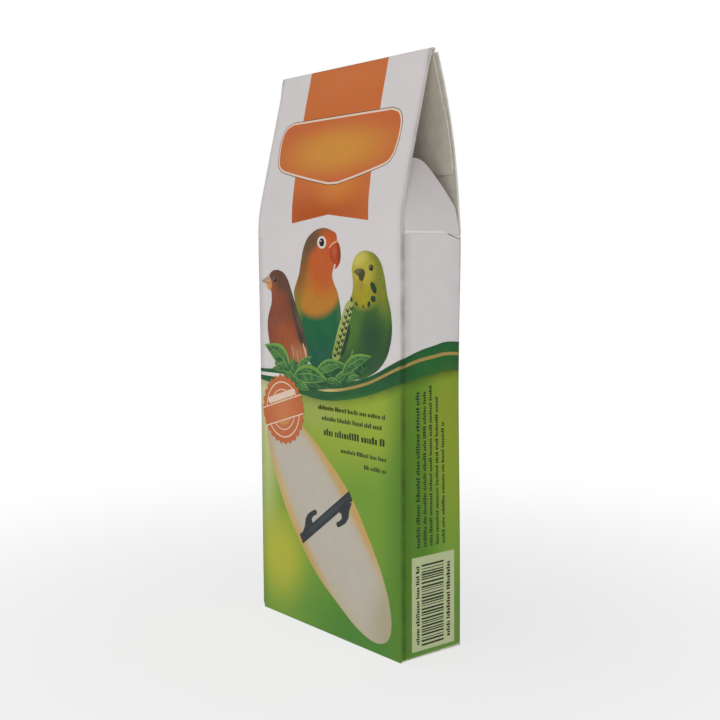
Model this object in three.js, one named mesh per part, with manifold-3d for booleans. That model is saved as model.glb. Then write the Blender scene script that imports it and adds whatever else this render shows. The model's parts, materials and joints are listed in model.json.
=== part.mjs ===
// Tent-top folding carton, set up and closed.
// One die-cut paperboard blank makes it: four walls glued into a sleeve, a tucked bottom, two
// dust flaps, a back roof panel, and a front roof panel whose tuck flap slides in behind it.
// Millimetres, +Z up, front face towards -Y, origin on the floor under the middle of the base.

import * as THREE from 'three';
import Module from 'manifold-3d';
import { mergeVertices } from 'three/addons/utils/BufferGeometryUtils.js';

const wasm = await Module();
wasm.setup();

// Driving dimensions
const WIDTH = 77.5;          // outside, across the front
const DEPTH = 25.4;          // outside, front to back
const WALL_HEIGHT = 134.5;   // floor to the top creases
const RIDGE_HEIGHT = 190.3;  // floor to the top of the ridge
const BOARD = 0.6;           // paperboard thickness
const GAP = 0.3;             // air left at each crease and between lapped boards

// The tent roof, seen from the end
const ROOF_LEAN = 0.2473;    // how far the front roof leans back for each millimetre it rises
const BEND_HEIGHT = 6.3;     // the foot of the front roof stands upright this far, then bends in
const RIDGE_RADIUS = 1.1;    // outside radius of the fold along the ridge
const BACK_TOP_Y = 2.5;      // outer face of the back roof at the ridge
const BACK_TOP_DROP = 1.1;   // the back roof's cut edge sits this far below the ridge
const BACK_BOW = new THREE.Vector2(10.75, WALL_HEIGHT + 30.5);  // what the back roof bows towards
const TUCK_REACH = 36.6;     // how far down the tuck flap goes behind the ridge
const TUCK_FOOT_Y = 9.4;     // outer face of the tuck flap at its lower edge
const TUCK_BOW = 0.5;        // how far the tuck flap bulges towards the back roof
const TUCK_SIDE = 0.9;       // the tuck flap is this much narrower than the front, each side
const TUCK_CORNER = 3;       // radius of its lower corners

// The dust flaps
const DUST_LEAN = THREE.MathUtils.degToRad(8);
const DUST_LENGTH = 24.2;
const DUST_FOOT = 11.5;      // half its width along the crease
const DUST_SHOULDER = 11;    // half its width at the shoulders
const SHOULDER_HEIGHT = 8;   // its sides stand nearly upright up to here
const DUST_FRONT = -7.1;     // front end of its top edge
const DUST_BACK = 2.4;       // where the top edge's line meets the slanted back edge's line
const DUST_CORNER = 3;       // how far that corner's rounding reaches along both edges
const NICK_START = 6.8;      // behind this the crease gives way to a slanting relief cut
const NICK_DROP = 1.7;       // how far the relief cut falls by the back corner

// The bottom closure and the glued seam
const BOTTOM_TUCK = 12;      // height of the bottom tuck flap
const BOTTOM_DUST = 22;      // length of each bottom dust flap
const GLUE_WIDTH = 13;       // width of the glued lap
const GLUE_INSET = 6;        // the lap stops this far short of the top and bottom

const PRINTED = { color: 0xd9d6d3, roughness: 0.45, metalness: 0 };
const GREEN = { color: 0x4f8a34, roughness: 0.45, metalness: 0 };
const RAW = { color: 0xa39a86, roughness: 0.85, metalness: 0 };

const halfWidth = WIDTH / 2;
const halfDepth = DEPTH / 2;
const insideX = halfWidth - BOARD - GAP;   // clear half width between the side walls
const insideY = halfDepth - BOARD - GAP;   // clear half depth between the front and back walls

const carton = new THREE.Group();

function addPanel(name, geometry, look) {
  const panel = new THREE.Mesh(geometry, new THREE.MeshStandardMaterial(look));
  panel.name = name;
  carton.add(panel);
}

// A flat board between two corners.
function slab(low, high) {
  const size = new THREE.Vector3().subVectors(high, low);
  const middle = new THREE.Vector3().addVectors(low, high).multiplyScalar(0.5);
  return new THREE.BoxGeometry(size.x, size.y, size.z).translate(middle.x, middle.y, middle.z);
}

const at = (x, y, z) => new THREE.Vector3(x, y, z);
const flat = (x, y) => new THREE.Vector2(x, y);

// The closed section of a board whose outer face follows a path. Points are (y, z), and the
// board's thickness lies to the right of the way the path runs.
function boardSection(path, divisions) {
  const outer = path.getPoints(divisions);
  const inner = outer.map((point, i) => {
    const before = outer[Math.max(i - 1, 0)];
    const after = outer[Math.min(i + 1, outer.length - 1)];
    const along = after.clone().sub(before).normalize();
    return flat(point.x + along.y * BOARD, point.y - along.x * BOARD);
  });
  return new THREE.Shape([...outer, ...inner.reverse()]);
}

// Runs a (y, z) section along X, centred on x = 0.
function alongX(section, length) {
  const solid = new THREE.ExtrudeGeometry(section, { depth: length, bevelEnabled: false });
  const turn = new THREE.Matrix4().makeBasis(at(0, 1, 0), at(0, 0, 1), at(1, 0, 0));
  return solid.applyMatrix4(turn).translate(-length / 2, 0, 0);
}

function toManifold(geometry) {
  const bare = geometry.clone();
  bare.deleteAttribute('normal');
  bare.deleteAttribute('uv');
  const merged = mergeVertices(bare, 1e-4);
  const mesh = new wasm.Mesh({
    numProp: 3,
    vertProperties: new Float32Array(merged.attributes.position.array),
    triVerts: new Uint32Array(merged.index.array),
  });
  return new wasm.Manifold(mesh);
}

function fromManifold(solid) {
  const mesh = solid.getMesh();
  const geometry = new THREE.BufferGeometry();
  geometry.setAttribute('position', new THREE.BufferAttribute(mesh.vertProperties, 3));
  geometry.setIndex(new THREE.BufferAttribute(mesh.triVerts, 1));
  geometry.computeVertexNormals();
  return geometry;
}

// Keeps the part of a board that lies inside an (x, z) outline, as a die cuts it.
function dieCut(geometry, outline) {
  const die = new THREE.ExtrudeGeometry(outline, { depth: 2 * DEPTH, bevelEnabled: false });
  die.rotateX(Math.PI / 2).translate(0, DEPTH, 0);
  return fromManifold(toManifold(geometry).intersect(toManifold(die)));
}

// The sleeve: front and back walls, the side walls between them and the glued lap.
function sleeve() {
  const front = slab(at(-halfWidth, -halfDepth, 0), at(halfWidth, -halfDepth + BOARD, WALL_HEIGHT));
  const back = slab(at(-halfWidth, halfDepth - BOARD, 0), at(halfWidth, halfDepth, WALL_HEIGHT));
  addPanel('front_wall', front, GREEN);
  addPanel('back_wall', back, GREEN);
  addPanel('right_side_wall', sideWall(1), GREEN);
  addPanel('left_side_wall', sideWall(-1), GREEN);
  const lapLow = at(-insideX, insideY - BOARD, GLUE_INSET);
  const lapHigh = at(-insideX + GLUE_WIDTH, insideY, WALL_HEIGHT - GLUE_INSET);
  addPanel('glue_flap', slab(lapLow, lapHigh), RAW);
}

// A side wall drawn in (y, z) and given the board's thickness. Side is 1 for right, -1 for left.
// It stops a board's thickness below the crease, so that its dust flap can fold in as well as out.
function sideWall(side) {
  const top = WALL_HEIGHT - BOARD;
  const outline = new THREE.Shape([
    flat(-insideY, 0),
    flat(insideY, 0),
    flat(insideY, top - NICK_DROP),
    flat(NICK_START, top),
    flat(-insideY, top),
  ]);
  return alongX(outline, BOARD).translate(side * (halfWidth - BOARD / 2), 0, 0);
}

// The bottom panel, its tuck flap inside the front wall, and two dust flaps lying on it.
function bottomClosure() {
  const panel = slab(at(-insideX, -insideY, 0), at(insideX, insideY, BOARD));
  addPanel('bottom_panel', panel, GREEN);
  const tuckX = insideX - TUCK_SIDE;
  const flapFloor = BOARD + GAP;
  const tuck = slab(at(-tuckX, -insideY, flapFloor), at(tuckX, -insideY + BOARD, BOTTOM_TUCK));
  addPanel('bottom_tuck_flap', tuck, RAW);
  const dustY = insideY - BOARD - GAP;
  const dustLow = at(-BOTTOM_DUST / 2, -dustY, flapFloor);
  const dustHigh = at(BOTTOM_DUST / 2, dustY, flapFloor + BOARD);
  const dustX = insideX - BOTTOM_DUST / 2;
  addPanel('right_bottom_dust_flap', slab(dustLow, dustHigh).translate(dustX, 0, 0), RAW);
  addPanel('left_bottom_dust_flap', slab(dustLow, dustHigh).translate(-dustX, 0, 0), RAW);
}

// The front roof rises from the front wall, bends in, runs straight to the ridge and folds over.
function frontRoof() {
  const bendZ = WALL_HEIGHT + BEND_HEIGHT;
  const bendEnd = flat(-halfDepth + ROOF_LEAN * BEND_HEIGHT, bendZ + BEND_HEIGHT);
  const lean = Math.atan(ROOF_LEAN);
  const foldZ = RIDGE_HEIGHT - RIDGE_RADIUS;
  const faceY = -halfDepth + ROOF_LEAN * (foldZ - bendZ);
  const foldY = faceY + RIDGE_RADIUS / Math.cos(lean);
  const tuckLean = Math.atan((TUCK_FOOT_Y - foldY - RIDGE_RADIUS) / TUCK_REACH);
  const path = new THREE.Path();
  path.moveTo(-halfDepth, WALL_HEIGHT + GAP);
  path.quadraticCurveTo(-halfDepth, bendZ, bendEnd.x, bendEnd.y);
  path.absarc(foldY, foldZ, RIDGE_RADIUS, Math.PI - lean, tuckLean, true);
  addPanel('front_roof_panel', alongX(boardSection(path, 8), WIDTH), PRINTED);
  tuckFlap(foldY, foldZ, tuckLean);
}

// The tuck flap carries on down from the fold, and its lower corners are rounded.
function tuckFlap(foldY, foldZ, lean) {
  const top = flat(foldY + RIDGE_RADIUS * Math.cos(lean), foldZ + RIDGE_RADIUS * Math.sin(lean));
  const start = flat(top.x + GAP * Math.sin(lean), top.y - GAP * Math.cos(lean));
  const foot = flat(TUCK_FOOT_Y, foldZ - TUCK_REACH);
  const bulge = start.clone().add(foot).multiplyScalar(0.5);
  const path = new THREE.Path();
  path.moveTo(start.x, start.y);
  path.quadraticCurveTo(bulge.x + 2 * TUCK_BOW, bulge.y, foot.x, foot.y);
  const side = halfWidth - TUCK_SIDE;
  const outline = new THREE.Shape();
  outline.moveTo(side, RIDGE_HEIGHT);
  outline.lineTo(-side, RIDGE_HEIGHT);
  outline.absarc(-side + TUCK_CORNER, foot.y + TUCK_CORNER, TUCK_CORNER, Math.PI, 1.5 * Math.PI);
  outline.absarc(side - TUCK_CORNER, foot.y + TUCK_CORNER, TUCK_CORNER, -Math.PI / 2, 0);
  addPanel('tuck_flap', dieCut(alongX(boardSection(path, 8), WIDTH), outline), RAW);
}

// The back roof bows outwards and stops with a cut edge just behind the ridge fold.
function backRoof() {
  const path = new THREE.Path();
  path.moveTo(BACK_TOP_Y, RIDGE_HEIGHT - BACK_TOP_DROP);
  path.quadraticCurveTo(BACK_BOW.x, BACK_BOW.y, halfDepth, WALL_HEIGHT + GAP);
  addPanel('back_roof_panel', alongX(boardSection(path, 12), WIDTH), PRINTED);
}

// A dust flap drawn in (y, height above the crease), leaning in from its side wall. Its back
// edge is cut away slantwise, which leaves the tuck flap room to swing.
function dustFlap(side) {
  const corner = flat(DUST_BACK, DUST_LENGTH);
  const shoulder = flat(DUST_SHOULDER, SHOULDER_HEIGHT);
  const slant = shoulder.clone().sub(corner).setLength(DUST_CORNER).add(corner);
  const outline = new THREE.Shape();
  outline.moveTo(NICK_START, GAP);
  outline.lineTo(DUST_FOOT, GAP - NICK_DROP);
  outline.lineTo(shoulder.x, shoulder.y);
  outline.lineTo(slant.x, slant.y);
  outline.quadraticCurveTo(corner.x, corner.y, corner.x - DUST_CORNER, corner.y);
  outline.lineTo(DUST_FRONT, DUST_LENGTH);
  outline.lineTo(-DUST_SHOULDER, SHOULDER_HEIGHT);
  outline.lineTo(-DUST_FOOT, GAP);
  const flap = alongX(outline, BOARD).translate(-side * BOARD / 2, 0, 0);
  return flap.rotateY(-side * DUST_LEAN).translate(side * halfWidth, 0, WALL_HEIGHT);
}

sleeve();
bottomClosure();
frontRoof();
backRoof();
addPanel('right_dust_flap', dustFlap(1), PRINTED);
addPanel('left_dust_flap', dustFlap(-1), PRINTED);

export default carton;
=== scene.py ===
# %% [markdown]
# # A tent-top folding carton, printed, creased and glued
#
# The real carton is one die-cut blank of coated paperboard. A press prints it flat, a die cuts
# and creases it, and a folder-gluer closes it into a sleeve. This lesson follows the same order:
# flat outlines come first, and one function per panel then says where a point of the flat blank
# ends up on the folded carton.
#
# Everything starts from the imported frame. Its boxes and joints give the sizes, so that no panel
# has to be fitted by hand.

# %% Load the frame and take its sizes
import json
import math

import bmesh
import bpy
import numpy as np
from mathutils import Matrix, Vector


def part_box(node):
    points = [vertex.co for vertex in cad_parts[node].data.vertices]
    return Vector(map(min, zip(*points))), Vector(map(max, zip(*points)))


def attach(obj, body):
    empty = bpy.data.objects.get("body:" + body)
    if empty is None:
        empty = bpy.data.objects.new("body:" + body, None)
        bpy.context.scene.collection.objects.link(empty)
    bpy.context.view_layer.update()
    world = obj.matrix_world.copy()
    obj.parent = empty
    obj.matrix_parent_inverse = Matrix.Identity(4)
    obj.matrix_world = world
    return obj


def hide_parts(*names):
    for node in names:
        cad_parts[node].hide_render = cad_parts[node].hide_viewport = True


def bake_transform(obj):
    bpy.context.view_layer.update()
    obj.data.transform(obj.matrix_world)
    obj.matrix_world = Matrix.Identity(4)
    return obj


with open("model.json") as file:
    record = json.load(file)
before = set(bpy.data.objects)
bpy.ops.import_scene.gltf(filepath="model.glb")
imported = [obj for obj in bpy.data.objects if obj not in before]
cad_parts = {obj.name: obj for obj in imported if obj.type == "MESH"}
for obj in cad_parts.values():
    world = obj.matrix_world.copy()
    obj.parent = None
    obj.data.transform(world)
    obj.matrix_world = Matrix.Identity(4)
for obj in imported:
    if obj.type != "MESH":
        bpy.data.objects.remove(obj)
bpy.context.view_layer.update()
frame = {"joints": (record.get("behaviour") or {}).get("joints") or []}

MM = 0.001
front_low, front_high = [np.array(p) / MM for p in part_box("front_wall")]
joints = {joint["name"]: joint for joint in frame["joints"]}

HALF_WIDTH = front_high[0]
HALF_DEPTH = -front_low[1]
BOARD = front_high[1] - front_low[1]
CREASE_Z = joints["lid_crease"]["pos_m"][2] / MM
RIDGE_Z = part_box("front_roof_panel")[1].z / MM
print(f"carton {2 * HALF_WIDTH:.1f} x {2 * HALF_DEPTH:.1f} mm, creases at {CREASE_Z:.1f}, "
      f"ridge at {RIDGE_Z:.1f}, board {BOARD:.2f} mm")

# %% [markdown]
# ## Routes: the lines that board follows
#
# Seen from above, the sleeve is a rounded rectangle. Seen from the end, the roof is a straight
# run, a tight fold and another run. Both are lines made of straights, arcs and gentle bends.
# A curve object could draw them, but the blank needs to ask "where am I after 40 mm?", so each
# route is kept as points with the distance travelled to every one of them.

# %% Straights, arcs, bends and routes
FINE = 24               # steps in an arc or a bend of the board


def straight(start, end):
    return np.array([start, end], float)


def arc(centre, radius, start_deg, end_deg, steps=FINE):
    angle = np.radians(np.linspace(start_deg, end_deg, steps + 1))
    return np.stack([centre[0] + radius * np.cos(angle), centre[1] + radius * np.sin(angle)], 1)


def bend(start, pull, end, steps=FINE):
    """A curve from start to end that leaves and arrives along the lines to the pull point."""
    t = np.linspace(0, 1, steps + 1)[:, None]
    start, pull, end = (np.array(p, float) for p in (start, pull, end))
    return (1 - t) ** 2 * start + 2 * t * (1 - t) * pull + t**2 * end


def route(*stretches):
    """Joins stretches into (points, distance travelled to each point)."""
    points = np.vstack(stretches)
    steps = np.linalg.norm(np.diff(points, axis=0), axis=1)
    fresh = np.concatenate([[True], steps > 1e-9])
    points = points[fresh]
    steps = np.linalg.norm(np.diff(points, axis=0), axis=1)
    return points, np.concatenate([[0.0], np.cumsum(steps)])


def along(path, distance):
    """Points of a route at these distances, running straight on past its two ends."""
    points, lengths = path
    inside = np.clip(distance, lengths[0], lengths[-1])
    found = np.stack([np.interp(inside, lengths, points[:, k]) for k in (0, 1)], 1)
    first = (points[0] - points[1]) / (lengths[1] - lengths[0])
    last = (points[-1] - points[-2]) / (lengths[-1] - lengths[-2])
    before = np.maximum(lengths[0] - distance, 0)[:, None]
    after = np.maximum(distance - lengths[-1], 0)[:, None]
    return found + before * first + after * last


def smooth_step(value, low, high):
    t = np.clip((value - low) / (high - low), 0, 1)
    return t * t * (3 - 2 * t)


# %% [markdown]
# ## The sleeve's surface
#
# Four walls stand around the inside, with a creased corner of about 1.3 mm radius between them.
# The blank's left end is a glue flap that goes inside the back wall. Below the walls hang the
# bottom panel, with its tuck flap, and two dust flaps. All of them are one sheet.
#
# On the flat blank a point is (s, v): s runs round the sleeve with 0 at the middle of the front,
# and v is its height on the wall. Below a wall's lower crease v carries on into the folded flap.
# A set-up carton is never quite square, so the walls also draw in a little at mid height.

# %% Where the sleeve runs, seen from above
CORNER = 1.3            # outside radius of the vertical creases
LAP_RADIUS = 1.0        # the corner where the glue flap turns in
LAP_Y = HALF_DEPTH - BOARD - 0.1
GLUE_WIDTH = 13.0
LAP_EDGE = 0.35         # the back wall's cut edge stops this far short of the left side

flat_x = HALF_WIDTH - CORNER
flat_y = HALF_DEPTH - CORNER
lap_x = -HALF_WIDTH + LAP_RADIUS

plan = route(
    straight((lap_x + GLUE_WIDTH, LAP_Y), (lap_x, LAP_Y)),
    arc((lap_x, LAP_Y - LAP_RADIUS), LAP_RADIUS, 90, 180),
    straight((-HALF_WIDTH, LAP_Y - LAP_RADIUS), (-HALF_WIDTH, -flat_y)),
    arc((-flat_x, -flat_y), CORNER, 180, 270),
    straight((-flat_x, -HALF_DEPTH), (flat_x, -HALF_DEPTH)),
    arc((flat_x, -flat_y), CORNER, 270, 360),
    straight((HALF_WIDTH, -flat_y), (HALF_WIDTH, flat_y)),
    arc((flat_x, flat_y), CORNER, 0, 90),
    straight((flat_x, HALF_DEPTH), (-HALF_WIDTH + LAP_EDGE, HALF_DEPTH)),
)
CORNER_RUN = math.pi / 2 * CORNER
FRONT_END = flat_x                          # s where the front turns into the right corner
RIGHT_START = FRONT_END + CORNER_RUN
RIGHT_END = RIGHT_START + 2 * flat_y
BACK_START = RIGHT_END + CORNER_RUN
plan_points, plan_lengths = plan
middle = plan_lengths[-1] - (BACK_START + flat_x + HALF_WIDTH - LAP_EDGE)
plan = (plan_points, plan_lengths - middle)
SLEEVE_START, SLEEVE_END = plan[1][0], plan[1][-1]
print(f"the blank is {SLEEVE_END - SLEEVE_START:.1f} mm long, glue flap included")


def right_side(y):
    """s on the right side wall at this y."""
    return RIGHT_START + flat_y + y


def left_side(y):
    return -right_side(y)


def back_side(x):
    return BACK_START + flat_x - x


# %% [markdown]
# ## The lower flaps
#
# At the foot of the sleeve the dust flaps turn in first, then the bottom panel covers them, and
# its tuck flap goes up inside the front. Each is one more route, from the wall's crease inwards.
# An armature could fold them, but they stay shut, so the folded place is worked out once.

# %% Fold the flat blank into the sleeve
SEAM_Z = CREASE_Z - 0.7      # sleeve and roof pieces meet here, just below the top creases
FOLD = 0.8                   # outside radius of the lower creases
LAP_GAP = 0.3                # air between two flaps that lie on each other
dust_floor = BOARD + LAP_GAP
tuck_wall = 2 * HALF_DEPTH - BOARD - LAP_GAP
BOTTOM_TUCK = 12.0

# Each lower flap in (distance inwards, height), from the wall's crease on.
dust_fold = route(
    arc((FOLD, dust_floor + FOLD), FOLD, 180, 270),
    straight((FOLD, dust_floor), (2 * FOLD, dust_floor)),
)
panel_fold = route(
    arc((FOLD, FOLD), FOLD, 180, 270),
    straight((FOLD, 0), (tuck_wall - FOLD, 0)),
    arc((tuck_wall - FOLD, FOLD), FOLD, 270, 360),
    straight((tuck_wall, FOLD), (tuck_wall, BOTTOM_TUCK)),
)
DRAW_IN_SIDE = 0.3           # how far the left side leans in at mid height
DRAW_IN_BACK = 0.8           # and the back


def settle(points):
    """The slight give of a set-up carton: the left side and the back draw in at mid height."""
    x, y, z = points.T
    share = np.clip(z / SEAM_Z, 0, 1) ** 1.6
    waist = np.sin(math.pi * share) ** 2
    x = x + DRAW_IN_SIDE * waist * (HALF_WIDTH - x) / (2 * HALF_WIDTH)
    y = y - DRAW_IN_BACK * waist * (y + HALF_DEPTH) / (2 * HALF_DEPTH)
    return np.stack([x, y, z], 1)


def sleeve_surface(s, v):
    """A point (s, v) of the flat blank, folded. Millimetres."""
    place = along(plan, s)
    ahead = along(plan, s + 0.01) - along(plan, s - 0.01)
    ahead /= np.linalg.norm(ahead, axis=1)[:, None]
    outwards = np.stack([ahead[:, 1], -ahead[:, 0]], 1)
    inset, height = np.zeros_like(v), v.copy()
    on_side = (s < -FRONT_END) | ((s > FRONT_END) & (s < RIGHT_END + CORNER_RUN / 2))
    on_back = s >= RIGHT_END + CORNER_RUN / 2
    for chosen, path, crease in ((on_side, dust_fold, dust_floor + FOLD), (on_back, panel_fold, FOLD)):
        folded = chosen & (v < crease)
        found = along(path, np.maximum(crease - v, 0))
        inset = np.where(folded, found[:, 0], inset)
        height = np.where(folded, found[:, 1], height)
    flat = place - outwards * inset[:, None]
    return settle(np.stack([flat[:, 0], flat[:, 1], height], 1))


# %% [markdown]
# ## The roof's surface
#
# The front roof stands upright for a few millimetres, bends in, runs straight to the ridge,
# folds over it and comes down inside as the tuck flap. The back roof bows outwards behind it.
# A panel of this kind is one profile, drawn from the end, carried across the carton.
#
# Board that is cut next to a crease keeps some of the crease's turn. So each side margin of the
# roof rolls back a little, the most at its foot, which shades it and turns its cut edge out. The
# margins also get painted shade.

# %% The roof profiles, as (distance outwards, height)
ROOF_LEAN = 0.2473           # how far the front roof leans back for each millimetre it rises
BEND_HEIGHT = 6.3
RIDGE_RADIUS = 1.1
FOOT_GAP = 0.3
TUCK_BOW = 1.8               # how far the tuck flap bows towards the back roof it lies against
TUCK_REACH = 0.6             # and how much nearer to it the foot lies than in a straight flap
tuck_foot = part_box("tuck_flap")[1].y / MM
tuck_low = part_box("tuck_flap")[0].z / MM
back_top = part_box("back_roof_panel")[1].z / MM

bend_z = CREASE_Z + BEND_HEIGHT
bend_end = (HALF_DEPTH - ROOF_LEAN * BEND_HEIGHT, bend_z + BEND_HEIGHT)
lean_deg = math.degrees(math.atan(ROOF_LEAN))
fold_z = RIDGE_Z - RIDGE_RADIUS
face_at_fold = HALF_DEPTH - ROOF_LEAN * (fold_z - bend_z)
fold_out = face_at_fold - RIDGE_RADIUS / math.cos(math.radians(lean_deg))
tuck_lean_deg = math.degrees(math.atan((tuck_foot + fold_out - RIDGE_RADIUS) / (fold_z - tuck_low)))
fold_arc = arc((fold_out, fold_z), RIDGE_RADIUS, lean_deg, 180 - tuck_lean_deg)
tuck_end_point = np.array([-tuck_foot - TUCK_REACH, tuck_low])
tuck_middle = (fold_arc[-1] + tuck_end_point) / 2 - (TUCK_BOW, 0)

front_profile = route(
    straight((HALF_DEPTH, 0), (HALF_DEPTH, CREASE_Z + FOOT_GAP)),
    bend((HALF_DEPTH, CREASE_Z + FOOT_GAP), (HALF_DEPTH, bend_z), bend_end),
    fold_arc,
    bend(fold_arc[-1], tuck_middle, tuck_end_point),
)
ridge_on = float(front_profile[1][-1 - 2 * FINE])    # where the ridge fold starts
ridge_off = float(front_profile[1][-1 - FINE])       # and where the tuck flap starts
tuck_end = float(front_profile[1][-1])

BACK_PULL = (10.75, CREASE_Z + 30.5)      # the back roof bows out towards this point
BACK_TOP_OUT = 2.5                        # where it ends, behind the ridge
back_profile = route(
    straight((HALF_DEPTH, 0), (HALF_DEPTH, CREASE_Z + FOOT_GAP)),
    bend((HALF_DEPTH, CREASE_Z + FOOT_GAP), BACK_PULL, (BACK_TOP_OUT, back_top), 40),
)
back_end = float(back_profile[1][-1])

DUST_LEAN, DUST_CURL = 8.0, 30.0          # how far a dust flap leans in at its foot and its top
DUST_FOOT = 0.5                           # its crease is rolled over this length, above and below
DUST_RUN = 12.0                           # half the length of its curl


def leaning(degrees):
    return np.array([-math.sin(math.radians(degrees)), math.cos(math.radians(degrees))])


crease_point = np.array([HALF_WIDTH, CREASE_Z])
dust_foot = crease_point + DUST_FOOT * leaning(DUST_LEAN)
dust_pull = dust_foot + DUST_RUN * leaning(DUST_LEAN)
dust_profile = route(
    straight((HALF_WIDTH, 0), crease_point - (0, DUST_FOOT)),
    bend(crease_point - (0, DUST_FOOT), crease_point, dust_foot, 8),
    bend(dust_foot, dust_pull, dust_pull + DUST_RUN * leaning(DUST_CURL)),
)
print(f"front roof runs to {ridge_on:.1f} mm, the fold to {ridge_off:.1f}, the tuck to {tuck_end:.1f}")

# %% [markdown]
# ## One profile, one panel
#
# A roof panel or a dust flap is straight from side to side, so its surface is its profile carried
# across. A lofted curve would give the same shape. A function of (u, v) also tells the ink, later
# on, where it lies and which way the board faces there.

# %% Carry a profile across the carton
UP = np.array([0, 0, 1.0])


def panel_surface(profile, across, rolled=None):
    """The surface of a panel: u runs along `across` and v along the profile. `rolled` says how
    much of the corner's turn the side margins keep at each v."""
    across = np.array(across, float)
    outwards = np.cross(across, UP)

    def surface(u, v):
        spot = along(profile, v)
        ahead = along(profile, v + 0.01) - along(profile, v - 0.01)
        ahead /= np.linalg.norm(ahead, axis=1)[:, None]
        facing = np.stack([ahead[:, 1], -ahead[:, 0]], 1)
        sideways = u
        if rolled is not None:
            over = np.maximum(np.abs(u) - flat_x, 0)
            turn = over / CORNER
            keep = rolled(v)
            reach = over + keep * (CORNER * np.sin(turn) - over)
            sideways = np.sign(u) * (np.minimum(np.abs(u), flat_x) + reach)
            spot = spot - facing * (keep * CORNER * (1 - np.cos(turn)))[:, None]
        points = (sideways[:, None] * across + spot[:, :1] * outwards + spot[:, 1:] * UP)
        return settle(points)

    return surface


def front_roll(v):
    return 1 - smooth_step(v, ridge_on - 8, ridge_on)


def back_roll(v):
    return 1 - 0.8 * smooth_step(v, CREASE_Z, CREASE_Z + 35)


front_surface = panel_surface(front_profile, (1, 0, 0), front_roll)
back_surface = panel_surface(back_profile, (-1, 0, 0), back_roll)
right_dust_surface = panel_surface(dust_profile, (0, 1, 0))
left_dust_surface = panel_surface(dust_profile, (0, -1, 0))

# The freed lower corner of a dust flap, its heel, is flat: it goes straight on below the crease.
heel_profile = route(straight(crease_point - CREASE_Z * leaning(DUST_LEAN), crease_point))
right_heel_surface = panel_surface(heel_profile, (0, 1, 0))
left_heel_surface = panel_surface(heel_profile, (0, -1, 0))

# %% [markdown]
# ## From an outline to folded board
#
# A die cuts an outline out of flat board. Here the outline is one flat face, which is ruled into
# strips wherever the board will bend, moved onto its surface, and given its thickness along the
# surface's normals. Solidify on a bent plane would do nearly the same, but with the cut edge,
# the printed side and the raw side made here, each gets its own material, and every corner of
# the mesh knows its place on the blank. The patterns are drawn in those places, so that they
# stay on the board when it bends.

# %% The blank cutter
def ruled(*stretches):
    """Places of the ruling lines: (from, to, spacing) for each stretch."""
    places = [np.arange(low, high + spacing / 2, spacing) for low, high, spacing in stretches]
    return np.unique(np.round(np.concatenate(places), 4))


def rule(outline, u_lines, v_lines):
    """The outline as flat faces cut along the ruling lines: (vertices, faces, boundary edges)."""
    flat = bmesh.new()
    flat.faces.new([flat.verts.new((u, v, 0)) for u, v in outline])
    low, high = np.min(outline, axis=0), np.max(outline, axis=0)
    for axis, places in enumerate((u_lines, v_lines)):
        for place in places:
            if low[axis] + 0.02 < place < high[axis] - 0.02:
                spot, facing = [0, 0, 0], [0, 0, 0]
                spot[axis], facing[axis] = place, 1
                every = flat.verts[:] + flat.edges[:] + flat.faces[:]
                bmesh.ops.bisect_plane(flat, geom=every, dist=1e-4, plane_co=spot, plane_no=facing)
    bmesh.ops.triangulate(flat, faces=[f for f in flat.faces if len(f.verts) > 4])
    bmesh.ops.recalc_face_normals(flat, faces=flat.faces)
    if sum(f.normal.z * f.calc_area() for f in flat.faces) < 0:
        bmesh.ops.reverse_faces(flat, faces=flat.faces)
    flat.verts.index_update()
    vertices = np.array([v.co[:2] for v in flat.verts])
    faces = [[v.index for v in f.verts] for f in flat.faces]
    rim = [(loop.vert.index, loop.link_loop_next.vert.index)
           for f in flat.faces for loop in f.loops if loop.edge.is_boundary]
    flat.free()
    return vertices, faces, rim


def facing_of(surface, u, v, step=0.02):
    """Unit normals of a surface, pointing to its printed side."""
    along_u = surface(u + step, v) - surface(u - step, v)
    along_v = surface(u, v + step) - surface(u, v - step)
    normal = np.cross(along_u, along_v)
    return normal / np.linalg.norm(normal, axis=1)[:, None]


SHARP_DEG = 40          # cut edges stay sharp, while creases and folds are shaded smooth


def no_marks(u, v):
    return np.zeros_like(u), np.zeros_like(u)


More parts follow.
